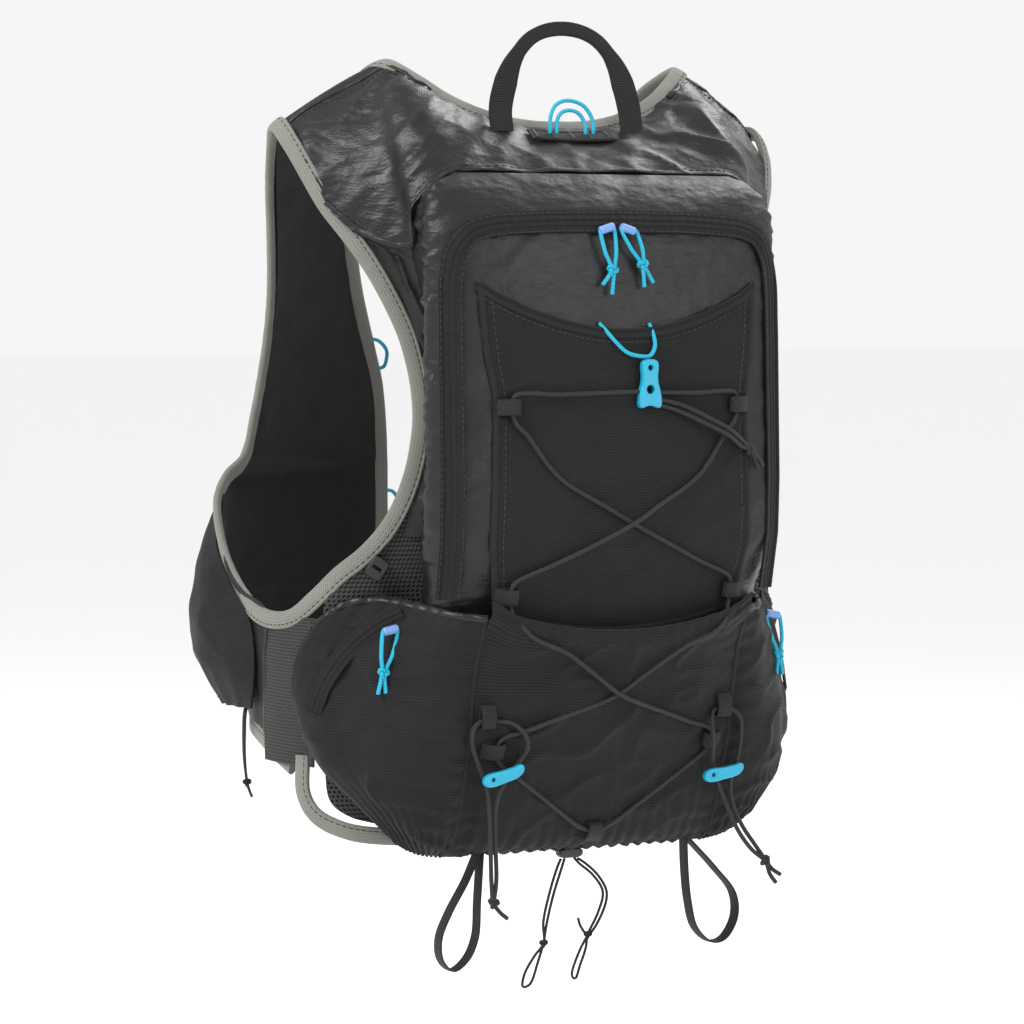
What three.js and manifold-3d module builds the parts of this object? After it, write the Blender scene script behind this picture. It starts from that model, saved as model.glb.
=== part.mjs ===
// Running hydration vest, held in the form it has when worn.
// Millimetres, +Z up. The wearer faces +Y, so the pack is on the -Y side.
// The origin is on the line where the shoulders carry it, at the back of the neck.
import * as THREE from 'three';
import { mergeVertices } from 'three/addons/utils/BufferGeometryUtils.js';
import Module from 'manifold-3d';

const wasm = await Module();
wasm.setup();

// Driving sizes of the harness
const chestHalf = 150;        // half width of the body under the arms
const chestDepth = 200;       // back of the neck to the front edges
const waistDrop = 400;        // shoulders down to the waist
const bindingWidth = 9;
const bindingThickness = 4.2;
const hemWidth = 9;
const spacerMesh = 3;         // padded mesh of the back panel
const yokeCloth = 2.4;
const frontCloth = 2.4;
const sideMesh = 1.6;
const pocketCloth = 1.4;
const frontPocketBulge = 17;

// Driving sizes of the pack
const packHalf = 110;         // half width at the zip
const packDepth = 80;         // behind the neck
const shellCloth = 2;
const stashHalf = 84;
const stashCloth = 1.4;
const stashRoom = 3;          // between the compartment and the stretch pocket
const lowerHalf = 83;         // half width of the middle pocket
const wingBulge = 21.5;
const zipWidth = 10;
const zipThickness = 1.2;

// Driving sizes of the trim
const laceDiameter = 2.5;
const blueDiameter = 2.3;
const thinDiameter = 1.6;
const knotRadius = 3.6;
const thinKnotRadius = 2.8;
const laceWebWidth = 9;
const laceWebReach = 11;
const webThickness = 1.2;
const axeWebWidth = 9;
const haulWebWidth = 15;
const haulGripWidth = 8;
const haulSpan = 84;
const haulRise = 40;
const hookLength = 27;
const hookWidth = 13;
const hookThickness = 4;
const clipLength = 25;
const clipHeight = 7;
const clipThickness = 4;

// Clearances
const gap = 0.3;              // between pieces that touch on the real vest
const seam = 0.5;             // between cloth edges that are sewn to each other
const lift = 0.8;             // between cloths that lie on each other

const black = { color: 0x262628, roughness: 0.8, metalness: 0 };
const matteBlack = { color: 0x1f1f21, roughness: 0.95, metalness: 0 };
const grey = { color: 0x85857e, roughness: 0.95, metalness: 0 };
const blue = { color: 0x22b8e0, roughness: 0.6, metalness: 0 };
const plastic = { color: 0x22b8e0, roughness: 0.35, metalness: 0 };
const webbing = { color: 0x1b1b1d, roughness: 0.9, metalness: 0 };

const group = new THREE.Group();

const vec = (x, y, z) => new THREE.Vector3(x, y, z);
const flip = (point) => vec(-point.x, point.y, point.z);
// A table row of shares becomes a point of the body
const bodyPoint = ([x, y, z]) => vec(x * chestHalf, y * chestDepth, z * waistDrop);

function smooth(points, closed = false) {
  return new THREE.CatmullRomCurve3(points, closed, 'centripetal');
}

function lookUp(table, key, value, column) {
  const last = table.length - 1;
  if (value >= table[0][key]) return table[0][column];
  if (value <= table[last][key]) return table[last][column];
  const row = table.findIndex((entry) => entry[key] <= value);
  const above = table[row - 1];
  const below = table[row];
  const share = (above[key] - value) / (above[key] - below[key]);
  return above[column] + (below[column] - above[column]) * share;
}

function meshOf(positions, index) {
  const geometry = new THREE.BufferGeometry();
  geometry.setAttribute('position', new THREE.Float32BufferAttribute(positions, 3));
  geometry.setIndex(index);
  return geometry;
}

function signedVolume(positions, index) {
  const corner = (at) => vec().fromArray(positions, index[at] * 3);
  let volume = 0;
  for (let at = 0; at < index.length; at += 3) {
    volume += corner(at).dot(corner(at + 1).cross(corner(at + 2)));
  }
  return volume;
}

// A sheet of cloth with a thickness, from a grid of points in its middle surface
function sheet(grid, thickness, wrapRows = false) {
  const rows = grid.length;
  const cols = grid[0].length;
  const rowAt = (i) => (wrapRows ? (i + rows) % rows : Math.min(Math.max(i, 0), rows - 1));
  const colAt = (j) => Math.min(Math.max(j, 0), cols - 1);
  const positions = [];
  for (const side of [0.5, -0.5]) {
    for (let i = 0; i < rows; i++) {
      for (let j = 0; j < cols; j++) {
        const along = grid[i][colAt(j + 1)].clone().sub(grid[i][colAt(j - 1)]);
        const down = grid[rowAt(i + 1)][j].clone().sub(grid[rowAt(i - 1)][j]);
        const normal = along.cross(down).normalize();
        const wall = typeof thickness === 'function' ? thickness(i, j) : thickness;
        positions.push(...grid[i][j].clone().addScaledVector(normal, side * wall).toArray());
      }
    }
  }
  const far = rows * cols;
  const index = [];
  const quad = (a, b, c, d) => index.push(a, b, c, a, c, d);
  const bands = wrapRows ? rows : rows - 1;
  for (let i = 0; i < bands; i++) {
    const here = i * cols;
    const next = ((i + 1) % rows) * cols;
    for (let j = 0; j < cols - 1; j++) {
      quad(here + j, here + j + 1, next + j + 1, next + j);
      quad(far + here + j + 1, far + here + j, far + next + j, far + next + j + 1);
    }
    quad(far + here, here, next, far + next);
    quad(here + cols - 1, far + here + cols - 1, far + next + cols - 1, next + cols - 1);
  }
  if (!wrapRows) {
    const end = (rows - 1) * cols;
    for (let j = 0; j < cols - 1; j++) {
      quad(j + 1, j, far + j, far + j + 1);
      quad(end + j, end + j + 1, far + end + j + 1, far + end + j);
    }
  }
  if (signedVolume(positions, index) < 0) index.reverse();
  return meshOf(positions, index);
}

// The room that a sheet needs: the same sheet, larger all round by the gap
function roomFor(grid, thickness) {
  const rows = grid.length - 1;
  const cols = grid[0].length - 1;
  const pushed = (edge, inner) => edge.clone().addScaledVector(edge.clone().sub(inner).normalize(), gap);
  const wide = grid.map((row) => row.map((point, j) => {
    if (j === 0) return pushed(point, row[1]);
    if (j === cols) return pushed(point, row[cols - 1]);
    return point.clone();
  }));
  const tall = wide.map((row, i) => row.map((point, j) => {
    if (i === 0) return pushed(point, wide[1][j]);
    if (i === rows) return pushed(point, wide[rows - 1][j]);
    return point;
  }));
  return sheet(tall, thickness + 2 * gap);
}

// The same row of points, drawn in at both ends
function shortened(points, first, last) {
  const lengths = [0];
  for (let i = 1; i < points.length; i++) {
    lengths.push(lengths[i - 1] + points[i].distanceTo(points[i - 1]));
  }
  const total = lengths[points.length - 1];
  return points.map((_, j) => {
    const at = first + (total - first - last) * j / (points.length - 1);
    const next = Math.max(1, lengths.findIndex((length) => length >= at));
    const share = (at - lengths[next - 1]) / (lengths[next] - lengths[next - 1]);
    return points[next - 1].clone().lerp(points[next], share);
  });
}

function welded(geometry) {
  const copy = geometry.clone();
  copy.deleteAttribute('normal');
  copy.deleteAttribute('uv');
  return mergeVertices(copy, 1e-4);
}

function toSolid(geometry) {
  const mesh = welded(geometry);
  return new wasm.Manifold(new wasm.Mesh({
    numProp: 3,
    vertProperties: Float32Array.from(mesh.attributes.position.array),
    triVerts: Uint32Array.from(mesh.index.array),
  }));
}

function fromSolid(solid) {
  const mesh = solid.getMesh();
  const positions = [];
  for (let at = 0; at < mesh.vertProperties.length; at += mesh.numProp) {
    positions.push(...mesh.vertProperties.slice(at, at + 3));
  }
  return meshOf(positions, Array.from(mesh.triVerts));
}

function joined(...geometries) {
  return fromSolid(geometries.map(toSolid).reduce((whole, next) => whole.add(next)));
}

// A piece cut back by its neighbours, which keeps only its largest part
function trimmed(geometry, cutters) {
  const rest = cutters.map(toSolid).reduce((whole, next) => whole.subtract(next), toSolid(geometry));
  const parts = rest.decompose();
  parts.sort((a, b) => b.volume() - a.volume());
  return fromSolid(parts[0]);
}

function mirrored(geometry) {
  const copy = welded(geometry);
  copy.scale(-1, 1, 1);
  const corners = Array.from(copy.index.array);
  const order = [0, 2, 1];
  copy.setIndex(corners.map((_, at) => corners[at - at % 3 + order[at % 3]]));
  return copy;
}

function place(name, geometry, finish) {
  const mesh = new THREE.Mesh(geometry, new THREE.MeshStandardMaterial(finish));
  mesh.name = name;
  group.add(mesh);
}

function placePair(name, geometry, finish) {
  place(`${name}_left`, geometry, finish);
  place(`${name}_right`, mirrored(geometry), finish);
}

// Body surfaces

const backDepth = [
  { z: 0.04, d: 0 },
  { z: -0.12, d: 0.06 },
  { z: -0.25, d: 0.12 },
  { z: -0.38, d: 0.14 },
  { z: -0.5, d: 0.14 },
  { z: -0.63, d: 0.12 },
  { z: -0.75, d: 0.09 },
  { z: -0.88, d: 0.06 },
  { z: -1.05, d: 0.035 },
];
const backRound = 0.14;       // how far the back curves forward at the body's sides

function backY(x, z) {
  const depth = lookUp(backDepth, 'z', z / waistDrop, 'd');
  return (backRound * (x / chestHalf) ** 2 - depth) * chestDepth;
}

// Outward direction of the harness at a point, from a line inside the body
function outward(point) {
  const heart = vec(point.x * 0.5, chestDepth * 0.42, Math.min(point.z, -0.25 * waistDrop));
  return point.clone().sub(heart).normalize();
}

// A flat band along a curve, lying on the body: soft bands are thicker along their middle
function band(curve, steps, width, thickness, options = {}) {
  const { closed = false, side = 0, rise = 0, normalOf = outward, plain = false } = options;
  const grid = [];
  const count = closed ? steps : steps + 1;
  for (let i = 0; i < count; i++) {
    const share = i / steps;
    const wide = typeof width === 'function' ? width(share) : width;
    const point = curve.getPointAt(share);
    const away = normalOf(point);
    const across = curve.getTangentAt(share).cross(away).normalize();
    const middle = point.clone().addScaledVector(across, side).addScaledVector(away, rise);
    const edges = plain ? [-0.5, 0.5] : [-0.5, 0, 0.5];
    grid.push(edges.map((edge) => middle.clone().addScaledVector(across, edge * wide)));
  }
  const wall = (i, j) => {
    const full = typeof thickness === 'function' ? thickness(i / steps) : thickness;
    return plain || j === 1 ? full : full * 0.62;
  };
  return sheet(grid, wall, closed);
}

// Armhole, round from the top of the shoulder down the back and up the front
const armholeRows = [
  [-1.067, 0.21, -0.05],
  [-1.057, 0.15, -0.075],
  [-1.02, 0.09, -0.12],
  [-0.967, 0.05, -0.165],
  [-0.873, 0, -0.22],
  [-0.793, -0.035, -0.275],
  [-0.707, -0.065, -0.355],
  [-0.67, -0.077, -0.45],
  [-0.7, -0.06, -0.535],
  [-0.767, -0.04, -0.595],
  [-0.847, -0.01, -0.635],
  [-0.935, 0.025, -0.665],
  [-0.993, 0.07, -0.695],
  [-1.025, 0.17, -0.725],
  [-1.04, 0.32, -0.728],
  [-1.047, 0.47, -0.695],
  [-1.053, 0.58, -0.643],
  [-1.04, 0.65, -0.578],
  [-0.973, 0.69, -0.54],
  [-0.893, 0.705, -0.515],
  [-0.85, 0.705, -0.455],
  [-0.807, 0.685, -0.345],
  [-0.82, 0.63, -0.27],
  [-0.867, 0.555, -0.198],
  [-0.933, 0.46, -0.125],
  [-1.0, 0.345, -0.07],
  [-1.045, 0.27, -0.052],
];
const armhole = smooth(armholeRows.map(bodyPoint), true);
const armSteps = 44;

// Neck and front edge of the left side, from the back of the neck to the front hem
const frontEdgeRows = [
  [0, 0, -0.043],
  [-0.16, 0.005, -0.04],
  [-0.3, 0.016, -0.028],
  [-0.44, 0.045, -0.006],
  [-0.55, 0.08, 0.022],
  [-0.64, 0.14, 0.045],
  [-0.65, 0.22, 0.04],
  [-0.62, 0.31, 0.018],
  [-0.573, 0.42, -0.03],
  [-0.507, 0.57, -0.105],
  [-0.427, 0.7, -0.19],
  [-0.333, 0.81, -0.27],
  [-0.227, 0.9, -0.35],
  [-0.153, 0.945, -0.425],
  [-0.127, 0.962, -0.5],
  [-0.12, 0.965, -0.625],
  [-0.12, 0.95, -0.775],
  [-0.133, 0.905, -0.9],
];
const neckPoints = frontEdgeRows.map(bodyPoint);
const frontEdge = smooth(neckPoints);
const neckLine = smooth([...neckPoints.slice(1).reverse(), ...neckPoints.map(flip)]);

function armBinding(extra) {
  const options = { closed: true, side: -bindingWidth / 2, plain: extra > 0 };
  return band(armhole, armSteps, bindingWidth + 2 * extra, bindingThickness + 2 * extra, options);
}

const neckSteps = 60;
function neckBinding(extra) {
  const options = { plain: extra > 0 };
  return band(neckLine, neckSteps, bindingWidth + 2 * extra, bindingThickness + 2 * extra, options);
}

placePair('arm_binding', armBinding(0), grey);
place('neck_binding', neckBinding(0), grey);

// Lower edges
const frontHemRows = [
  [-0.2, 0.9, -0.91],
  [-0.5, 0.84, -0.91],
  [-0.78, 0.72, -0.905],
  [-0.94, 0.56, -0.905],
  [-1.0, 0.4, -0.915],
  [-1.015, 0.26, -0.935],
  [-1.0, 0.19, -0.95],
];
const backHemRows = [
  [-1.0, 0.125, -0.93],
  [-1.0, 0.12, -0.985],
  [-0.965, 0.095, -1.015],
  [-0.88, 0.05, -1.035],
  [-0.75, 0.02, -1.045],
  [-0.4, -0.02, -1.05],
];
const frontHem = smooth(frontHemRows.map(bodyPoint));
const backHemPoints = backHemRows.map(bodyPoint);
const backHem = smooth([...backHemPoints, ...backHemPoints.map(flip).reverse()]);
const level = (point) => vec(point.x, point.y - 0.42 * chestDepth, 0).normalize();
const hemBand = (line, steps, extra) => band(
  line, steps, hemWidth + 2 * extra, bindingThickness + 2 * extra,
  { normalOf: level, plain: extra > 0 });
const frontHemBand = (extra) => hemBand(frontHem, 16, extra);
const backHemBand = (extra) => hemBand(backHem, 32, extra);
placePair('hem_binding', trimmed(frontHemBand(0), [neckBinding(gap)]), grey);
place('hem_binding_back', backHemBand(0), grey);

// Back panel, from under the yoke to the hem
const backPanelRows = [
  { z: -0.1, half: 0.985 },
  { z: -0.165, half: 0.935 },
  { z: -0.22, half: 0.845 },
  { z: -0.275, half: 0.765 },
  { z: -0.355, half: 0.68 },
  { z: -0.45, half: 0.64 },
  { z: -0.535, half: 0.67 },
  { z: -0.595, half: 0.735 },
  { z: -0.635, half: 0.815 },
  { z: -0.67, half: 0.905 },
  { z: -0.705, half: 0.985 },
  { z: -0.745, half: 0.995 },
  { z: -0.85, half: 0.985 },
  { z: -0.95, half: 0.966 },
  { z: -0.995, half: 0.945 },
  { z: -1.015, half: 0.885 },
  { z: -1.027, half: 0.79 },
  { z: -1.034, half: 0.62 },
];
const backCols = 10;
const backGrid = backPanelRows.map(({ z, half }) => Array.from({ length: backCols + 1 }, (_, j) => {
  const x = (2 * j / backCols - 1) * half * chestHalf;
  return vec(x, backY(x, z * waistDrop), z * waistDrop);
}));
place('back_panel', trimmed(sheet(backGrid, spacerMesh), [
  armBinding(gap), mirrored(armBinding(gap)), backHemBand(gap),
]), black);

// Yoke: rows from the neck and shoulder line down to the pack
const yokeColumns = [
  { top: [-1.05, 0.22, -0.052], low: [-1.005, 0.08, -0.13], puff: 0.01 },
  { top: [-0.95, 0.205, -0.02], low: [-0.93, 0.015, -0.165], puff: 0.035 },
  { top: [-0.85, 0.19, 0.005], low: [-0.83, -0.06, -0.205], puff: 0.05 },
  { top: [-0.74, 0.165, 0.028], low: [-0.72, -0.15, -0.215], puff: 0.055 },
  { top: [-0.64, 0.14, 0.043], low: [-0.735, -0.175, -0.17], puff: 0.055 },
  { top: [-0.55, 0.08, 0.022], low: [-0.67, -0.195, -0.13], puff: 0.05 },
  { top: [-0.44, 0.045, -0.006], low: [-0.58, -0.205, -0.113], puff: 0.03 },
  { top: [-0.3, 0.016, -0.028], low: [-0.4, -0.21, -0.11], puff: 0.018 },
  { top: [-0.16, 0.005, -0.04], low: [-0.2, -0.21, -0.11], puff: 0.014 },
  { top: [0, 0, -0.043], low: [0, -0.21, -0.11], puff: 0.012 },
];
const yokeRows = 6;
const yokeMiddle = yokeColumns.length - 1;
const bothSides = (points) => [...points, ...points.slice(0, -1).reverse().map(flip)];
const yokeTop = smooth(bothSides(yokeColumns.map(({ top }) => bodyPoint(top))));
const yokeLow = smooth(bothSides(yokeColumns.map(({ low }) => bodyPoint(low))));
// Place on the yoke: column counts from the left arm edge, share from the neck down
function yokePoint(column, share) {
  const point = yokeTop.getPoint(column / (2 * yokeMiddle));
  point.lerp(yokeLow.getPoint(column / (2 * yokeMiddle)), share);
  const near = Math.round(column <= yokeMiddle ? column : 2 * yokeMiddle - column);
  const swell = yokeColumns[near].puff * chestDepth * Math.sin(Math.PI * share);
  return point.addScaledVector(outward(point), swell);
}
const yokeGrid = Array.from({ length: 2 * yokeMiddle + 1 }, (_, column) => {
  const down = Array.from({ length: yokeRows + 1 }, (_unused, i) => yokePoint(column, i / yokeRows));
  return shortened(down, bindingWidth / 2 + seam, 0);
});
place('yoke', trimmed(sheet(yokeGrid, yokeCloth), [
  armBinding(gap), mirrored(armBinding(gap)), neckBinding(gap), roomFor(backGrid, spacerMesh),
]), black);

// Front panel: the strap rows run from the arm edge to the front edge
const strapRows = [
  { arm: [-1.055, 0.235, -0.05], edge: [-0.655, 0.165, 0.045], puff: 0.012 },
  { arm: [-1.0, 0.345, -0.07], edge: [-0.6, 0.36, -0.003], puff: 0.02 },
  { arm: [-0.933, 0.46, -0.125], edge: [-0.54, 0.5, -0.07], puff: 0.02 },
  { arm: [-0.867, 0.555, -0.198], edge: [-0.46, 0.65, -0.155], puff: 0.02 },
  { arm: [-0.82, 0.63, -0.27], edge: [-0.355, 0.785, -0.25], puff: 0.02 },
  { arm: [-0.807, 0.685, -0.345], edge: [-0.24, 0.89, -0.34], puff: 0.02 },
  { arm: [-0.83, 0.7, -0.41], edge: [-0.16, 0.94, -0.415], puff: 0.02 },
  { arm: [-0.85, 0.705, -0.455], edge: [-0.13, 0.96, -0.48], puff: 0.025 },
  { arm: [-0.893, 0.705, -0.515], edge: [-0.12, 0.965, -0.53], puff: 0.035 },
];
// Level section of the front below the arm, from the side seam to the front edge
const waistSection = smooth([
  [-1.03, 0.32, 0], [-1.05, 0.47, 0], [-1.045, 0.6, 0], [-0.96, 0.72, 0],
  [-0.77, 0.83, 0], [-0.53, 0.905, 0], [-0.32, 0.945, 0], [-0.12, 0.965, 0],
].map(bodyPoint));
const waistRows = [
  { z: -0.548, start: 0.4, girth: 1 },
  { z: -0.58, start: 0.31, girth: 1 },
  { z: -0.615, start: 0.265, girth: 1 },
  { z: -0.68, start: 0.15, girth: 1 },
  { z: -0.71, start: 0.08, girth: 1 },
  { z: -0.735, start: 0, girth: 1 },
  { z: -0.8, start: 0, girth: 0.985 },
  { z: -0.86, start: 0, girth: 0.96 },
  { z: -0.91, start: 0, girth: 0.94 },
];
const frontCols = 7;
const waistPoint = (share, z, girth) => {
  const point = waistSection.getPointAt(Math.min(share, 1));
  const round = 1 - (1 - girth) * Math.sin(Math.PI * Math.min(share * 1.2, 0.5));
  const inset = point.clone().setZ(0).multiplyScalar(round);
  return vec(point.x * round, inset.y, z * waistDrop);
};
const frontShares = Array.from({ length: frontCols + 1 }, (_, j) => j / frontCols);
const strapGrid = strapRows.map(({ arm, edge, puff }) => {
  const row = frontShares.map((share) => {
    const point = bodyPoint(arm).lerp(bodyPoint(edge), share);
    return point.addScaledVector(outward(point), puff * chestDepth * 4 * share * (1 - share));
  });
  return shortened(row, bindingWidth + seam, bindingWidth / 2 + seam);
});
const waistGrid = waistRows.map(({ z, start, girth }) => {
  const row = frontShares.map((share) => waistPoint(start + (1 - start) * share, z, girth));
  return shortened(row, 0, bindingWidth / 2 + seam);
});
const frontGrid = [...strapGrid, ...waistGrid];
const frontPanel = trimmed(sheet(frontGrid, frontCloth), [
  armBinding(gap), neckBinding(gap), frontHemBand(gap), roomFor(yokeGrid, yokeCloth),
]);
placePair('front_panel', frontPanel, black);

// Side panel between the back panel and the front panel
const sideRows = [-0.735, -0.8, -0.87, -0.945];
const sideGrid = sideRows.map((z) => [0, 1 / 3, 2 / 3, 1].map((share) => {
  const seamFront = waistPoint(0, z, z < -0.8 ? 0.96 : 1);
  const backEdge = vec(-0.995 * chestHalf, backY(0.995 * chestHalf, z * waistDrop), z * waistDrop);
  const point = backEdge.lerp(seamFront, share);
  return point.add(vec(-0.02 * chestHalf * Math.sin(Math.PI * share), 0, 0));
}));
placePair('side_panel', trimmed(sheet(sideGrid, sideMesh), [
  armBinding(gap), frontHemBand(gap), backHemBand(gap),
  roomFor(backGrid, spacerMesh), roomFor(frontGrid, frontCloth),
]), matteBlack);

// Front pocket, a bulged shell on the front panel
const pocketRows = [
  { z: -0.58, start: 0.36, end: 0.8, bulge: 0.15 },
  { z: -0.61, start: 0.31, end: 0.82, bulge: 0.62 },
  { z: -0.65, start: 0.26, end: 0.84, bulge: 0.95 },
  { z: -0.7, start: 0.16, end: 0.84, bulge: 1 },
  { z: -0.75, start: 0.06, end: 0.84, bulge: 1 },
  { z: -0.8, start: 0.04, end: 0.83, bulge: 0.9 },
  { z: -0.84, start: 0.05, end: 0.82, bulge: 0.62 },
  { z: -0.875, start: 0.07, end: 0.8, bulge: 0.2 },
];
const pocketCols = 8;
const pocketGrid = pocketRows.map(({ z, start, end, bulge }) => (
  Array.from({ length: pocketCols + 1 }, (_, j) => {
    const share = j / pocketCols;
    const girth = 1 - Math.max(0, -0.79 - z) * 0.45;
    const point = waistPoint(start + (end - start) * share, z, girth);
    const seat = frontCloth / 2 + pocketCloth / 2 + lift;
    const puff = frontPocketBulge * bulge * Math.sin(Math.PI * share) ** 0.7;
    return point.addScaledVector(level(point), seat + puff);
  })));
placePair('front_pocket', trimmed(sheet(pocketGrid, pocketCloth), [
  armBinding(gap), frontHemBand(gap), roomFor(frontGrid, frontCloth),
]), black);

// Main compartment: a level section repeated down its height
const shellSection = [
  { across: 1, depth: 0, base: 1 },
  { across: 0.97, depth: 0.3, base: 0.4 },
  { across: 1.0, depth: 0.55, base: 0 },
  { across: 0.965, depth: 0.72, base: 0 },
  { across: 0.87, depth: 0.85, base: 0 },
  { across: 0.7, depth: 0.93, base: 0 },
  { across: 0.36, depth: 0.985, base: 0 },
  { across: 0, depth: 1, base: 0 },
];
// Half widths as shares of the pack's, depths as shares of its depth
const shellRows = [
  { z: -0.113, foot: 0.8, half: 0.8, seat: 0.5, crown: 0.56 },
  { z: -0.132, foot: 0.92, half: 0.93, seat: 0.47, crown: 0.68 },
  { z: -0.16, foot: 0.985, half: 0.99, seat: 0.42, crown: 0.8 },
  { z: -0.195, foot: 0.97, half: 1, seat: 0.33, crown: 0.88 },
  { z: -0.25, foot: 0.92, half: 1, seat: 0.28, crown: 0.92 },
  { z: -0.34, foot: 0.84, half: 1, seat: 0.27, crown: 0.945 },
  { z: -0.44, foot: 0.82, half: 1, seat: 0.27, crown: 0.965 },
  { z: -0.54, foot: 0.83, half: 1, seat: 0.25, crown: 0.99 },
  { z: -0.62, foot: 0.86, half: 1, seat: 0.21, crown: 0.985 },
  { z: -0.7, foot: 0.89, half: 0.99, seat: 0.17, crown: 0.89 },
  { z: -0.79, foot: 0.9, half: 0.96, seat: 0.13, crown: 0.76 },
  { z: -0.89, foot: 0.88, half: 0.92, seat: 0.1, crown: 0.64 },
  { z: -0.97, foot: 0.84, half: 0.86, seat: 0.08, crown: 0.46 },
  { z: -1.02, foot: 0.78, half: 0.78, seat: 0.07, crown: 0.24 },
];
function shellPoint(row, part, side) {
  const foot = row.foot * part.base + row.half * (1 - part.base);
  const depth = row.seat + (row.crown - row.seat) * part.depth;
  return vec(side * packHalf * foot * part.across, -packDepth * depth, row.z * waistDrop);
}
const shellGrid = shellRows.map((row) => [
  ...shellSection.map((part) => shellPoint(row, part, -1)),
  ...shellSection.slice(0, -1).reverse().map((part) => shellPoint(row, part, 1)),
]);
place('main_compartment', trimmed(sheet(shellGrid, shellCloth), [
  roomFor(yokeGrid, yokeCloth), roomFor(backGrid, spacerMesh),
]), black);

// Depth of the compartment's outer face at a place
function faceY(x, z) {
  const share = z / waistDrop;
  const half = lookUp(shellRows, 'z', share, 'half') * packHalf;
  const seat = lookUp(shellRows, 'z', share, 'seat');
  const crown = lookUp(shellRows, 'z', share, 'crown');
  const face = shellSection.slice(3);
  const across = Math.min(Math.abs(x) / half, face[0].across);
  const depth = lookUp(face, 'across', across, 'depth');
  return -packDepth * (seat + (crown - seat) * depth) - shellCloth / 2;
}

// Zip of the compartment, an upside-down U on its face
const zipPath = [
  [-0.93, -0.7], [-0.935, -0.6], [-0.935, -0.45], [-0.935, -0.32], [-0.93, -0.26],
  [-0.9, -0.222], [-0.84, -0.198], [-0.74, -0.187], [-0.5, -0.181], [-0.2, -0.179],
];
const zipHalf = zipPath.map(([x, z]) => vec(x * packHalf, 0, z * waistDrop));
const zipLine = smooth([...zipHalf, ...zipHalf.map(flip).reverse()]);
const zipSteps = 40;
const zipGrid = Array.from({ length: zipSteps + 1 }, (_, i) => {
  const point = zipLine.getPointAt(i / zipSteps);
  const across = zipLine.getTangentAt(i / zipSteps).cross(vec(0, -1, 0));
  return [-0.5, 0, 0.5].map((edge) => {
    const spot = point.clone().addScaledVector(across, edge * zipWidth);
    return spot.setY(faceY(spot.x, spot.z) - 2 * lift - zipThickness / 2);
  });
});
place('zip_main', trimmed(sheet(zipGrid, zipThickness), [roomFor(shellGrid, shellCloth)]), matteBlack);

// Stretch pocket: its top edge hangs in a shallow curve, its lower seam is a wide U
const stashCols = 10;
const stashRowCount = 8;
const stashTop = (x) => (-0.262 - 0.068 * Math.cos(Math.PI / 2 * Math.min(Math.abs(x), 1)) ** 0.8) * waistDrop;
const stashLow = (x) => (-0.715 - 0.04 * Math.cos(Math.PI / 2 * Math.min(Math.abs(x), 1)) ** 0.6) * waistDrop;
const stashWide = [
  { z: -0.26, half: 1.06 },
  { z: -0.36, half: 1.02 },
  { z: -0.42, half: 0.96 },
  { z: -0.5, half: 0.97 },
  { z: -0.62, half: 0.99 },
  { z: -0.72, half: 0.92 },
];
function stashPoint(u, v) {
  const z = stashTop(u) + (stashLow(u) - stashTop(u)) * v;
  const x = u * stashHalf * lookUp(stashWide, 'z', z / waistDrop, 'half');
  const puff = stashRoom * Math.cos(Math.PI / 2 * Math.abs(u)) * (0.5 + 0.5 * Math.sin(Math.PI * v));
  return vec(x, faceY(x, z) - stashCloth / 2 - lift - puff, z);
}
const stashGrid = Array.from({ length: stashRowCount + 1 }, (_, i) => (
  Array.from({ length: stashCols + 1 }, (_unused, j) => (
    stashPoint(2 * j / stashCols - 1, i / stashRowCount)))));
place('stash_pocket', trimmed(sheet(stashGrid, stashCloth), [
  roomFor(shellGrid, shellCloth),
]), matteBlack);

// Lower pocket: a gathered bag whose hem curls in under the pack
const lowerRows = [
  { z: -0.722, crown: 0.98, edge: 0.95 },
  { z: -0.75, crown: 0.97, edge: 0.83 },
  { z: -0.79, crown: 0.9, edge: 0.74 },
  { z: -0.84, crown: 0.84, edge: 0.68 },
  { z: -0.89, crown: 0.77, edge: 0.64 },
  { z: -0.94, crown: 0.68, edge: 0.57 },
  { z: -0.99, crown: 0.58, edge: 0.49 },
  { z: -1.03, crown: 0.49, edge: 0.41 },
  { z: -1.06, crown: 0.38, edge: 0.31 },
  { z: -1.07, crown: 0.24, edge: 0.2 },
];
const lowerDip = (x) => 0.045 * waistDrop * Math.cos(Math.PI / 2 * Math.min(Math.abs(x), 1)) ** 0.6;
const lowerCols = 8;
const lowerGrid = lowerRows.map(({ z, crown, edge }, i) => (
  Array.from({ length: lowerCols + 1 }, (_, j) => {
    const u = 2 * j / lowerCols - 1;
    const dip = lowerDip(u) * Math.max(0, 1 - i / 3);
    const depth = edge + (crown - edge) * (1 - u * u);
    return vec(u * (lowerHalf - seam), -depth * packDepth - lift, z * waistDrop - dip);
  })));
const stashCutter = roomFor(stashGrid, stashCloth);
const shellCutter = roomFor(shellGrid, shellCloth);
place('lower_pocket', trimmed(sheet(lowerGrid, pocketCloth), [
  shellCutter, stashCutter, backHemBand(gap),
]), matteBlack);

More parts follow.
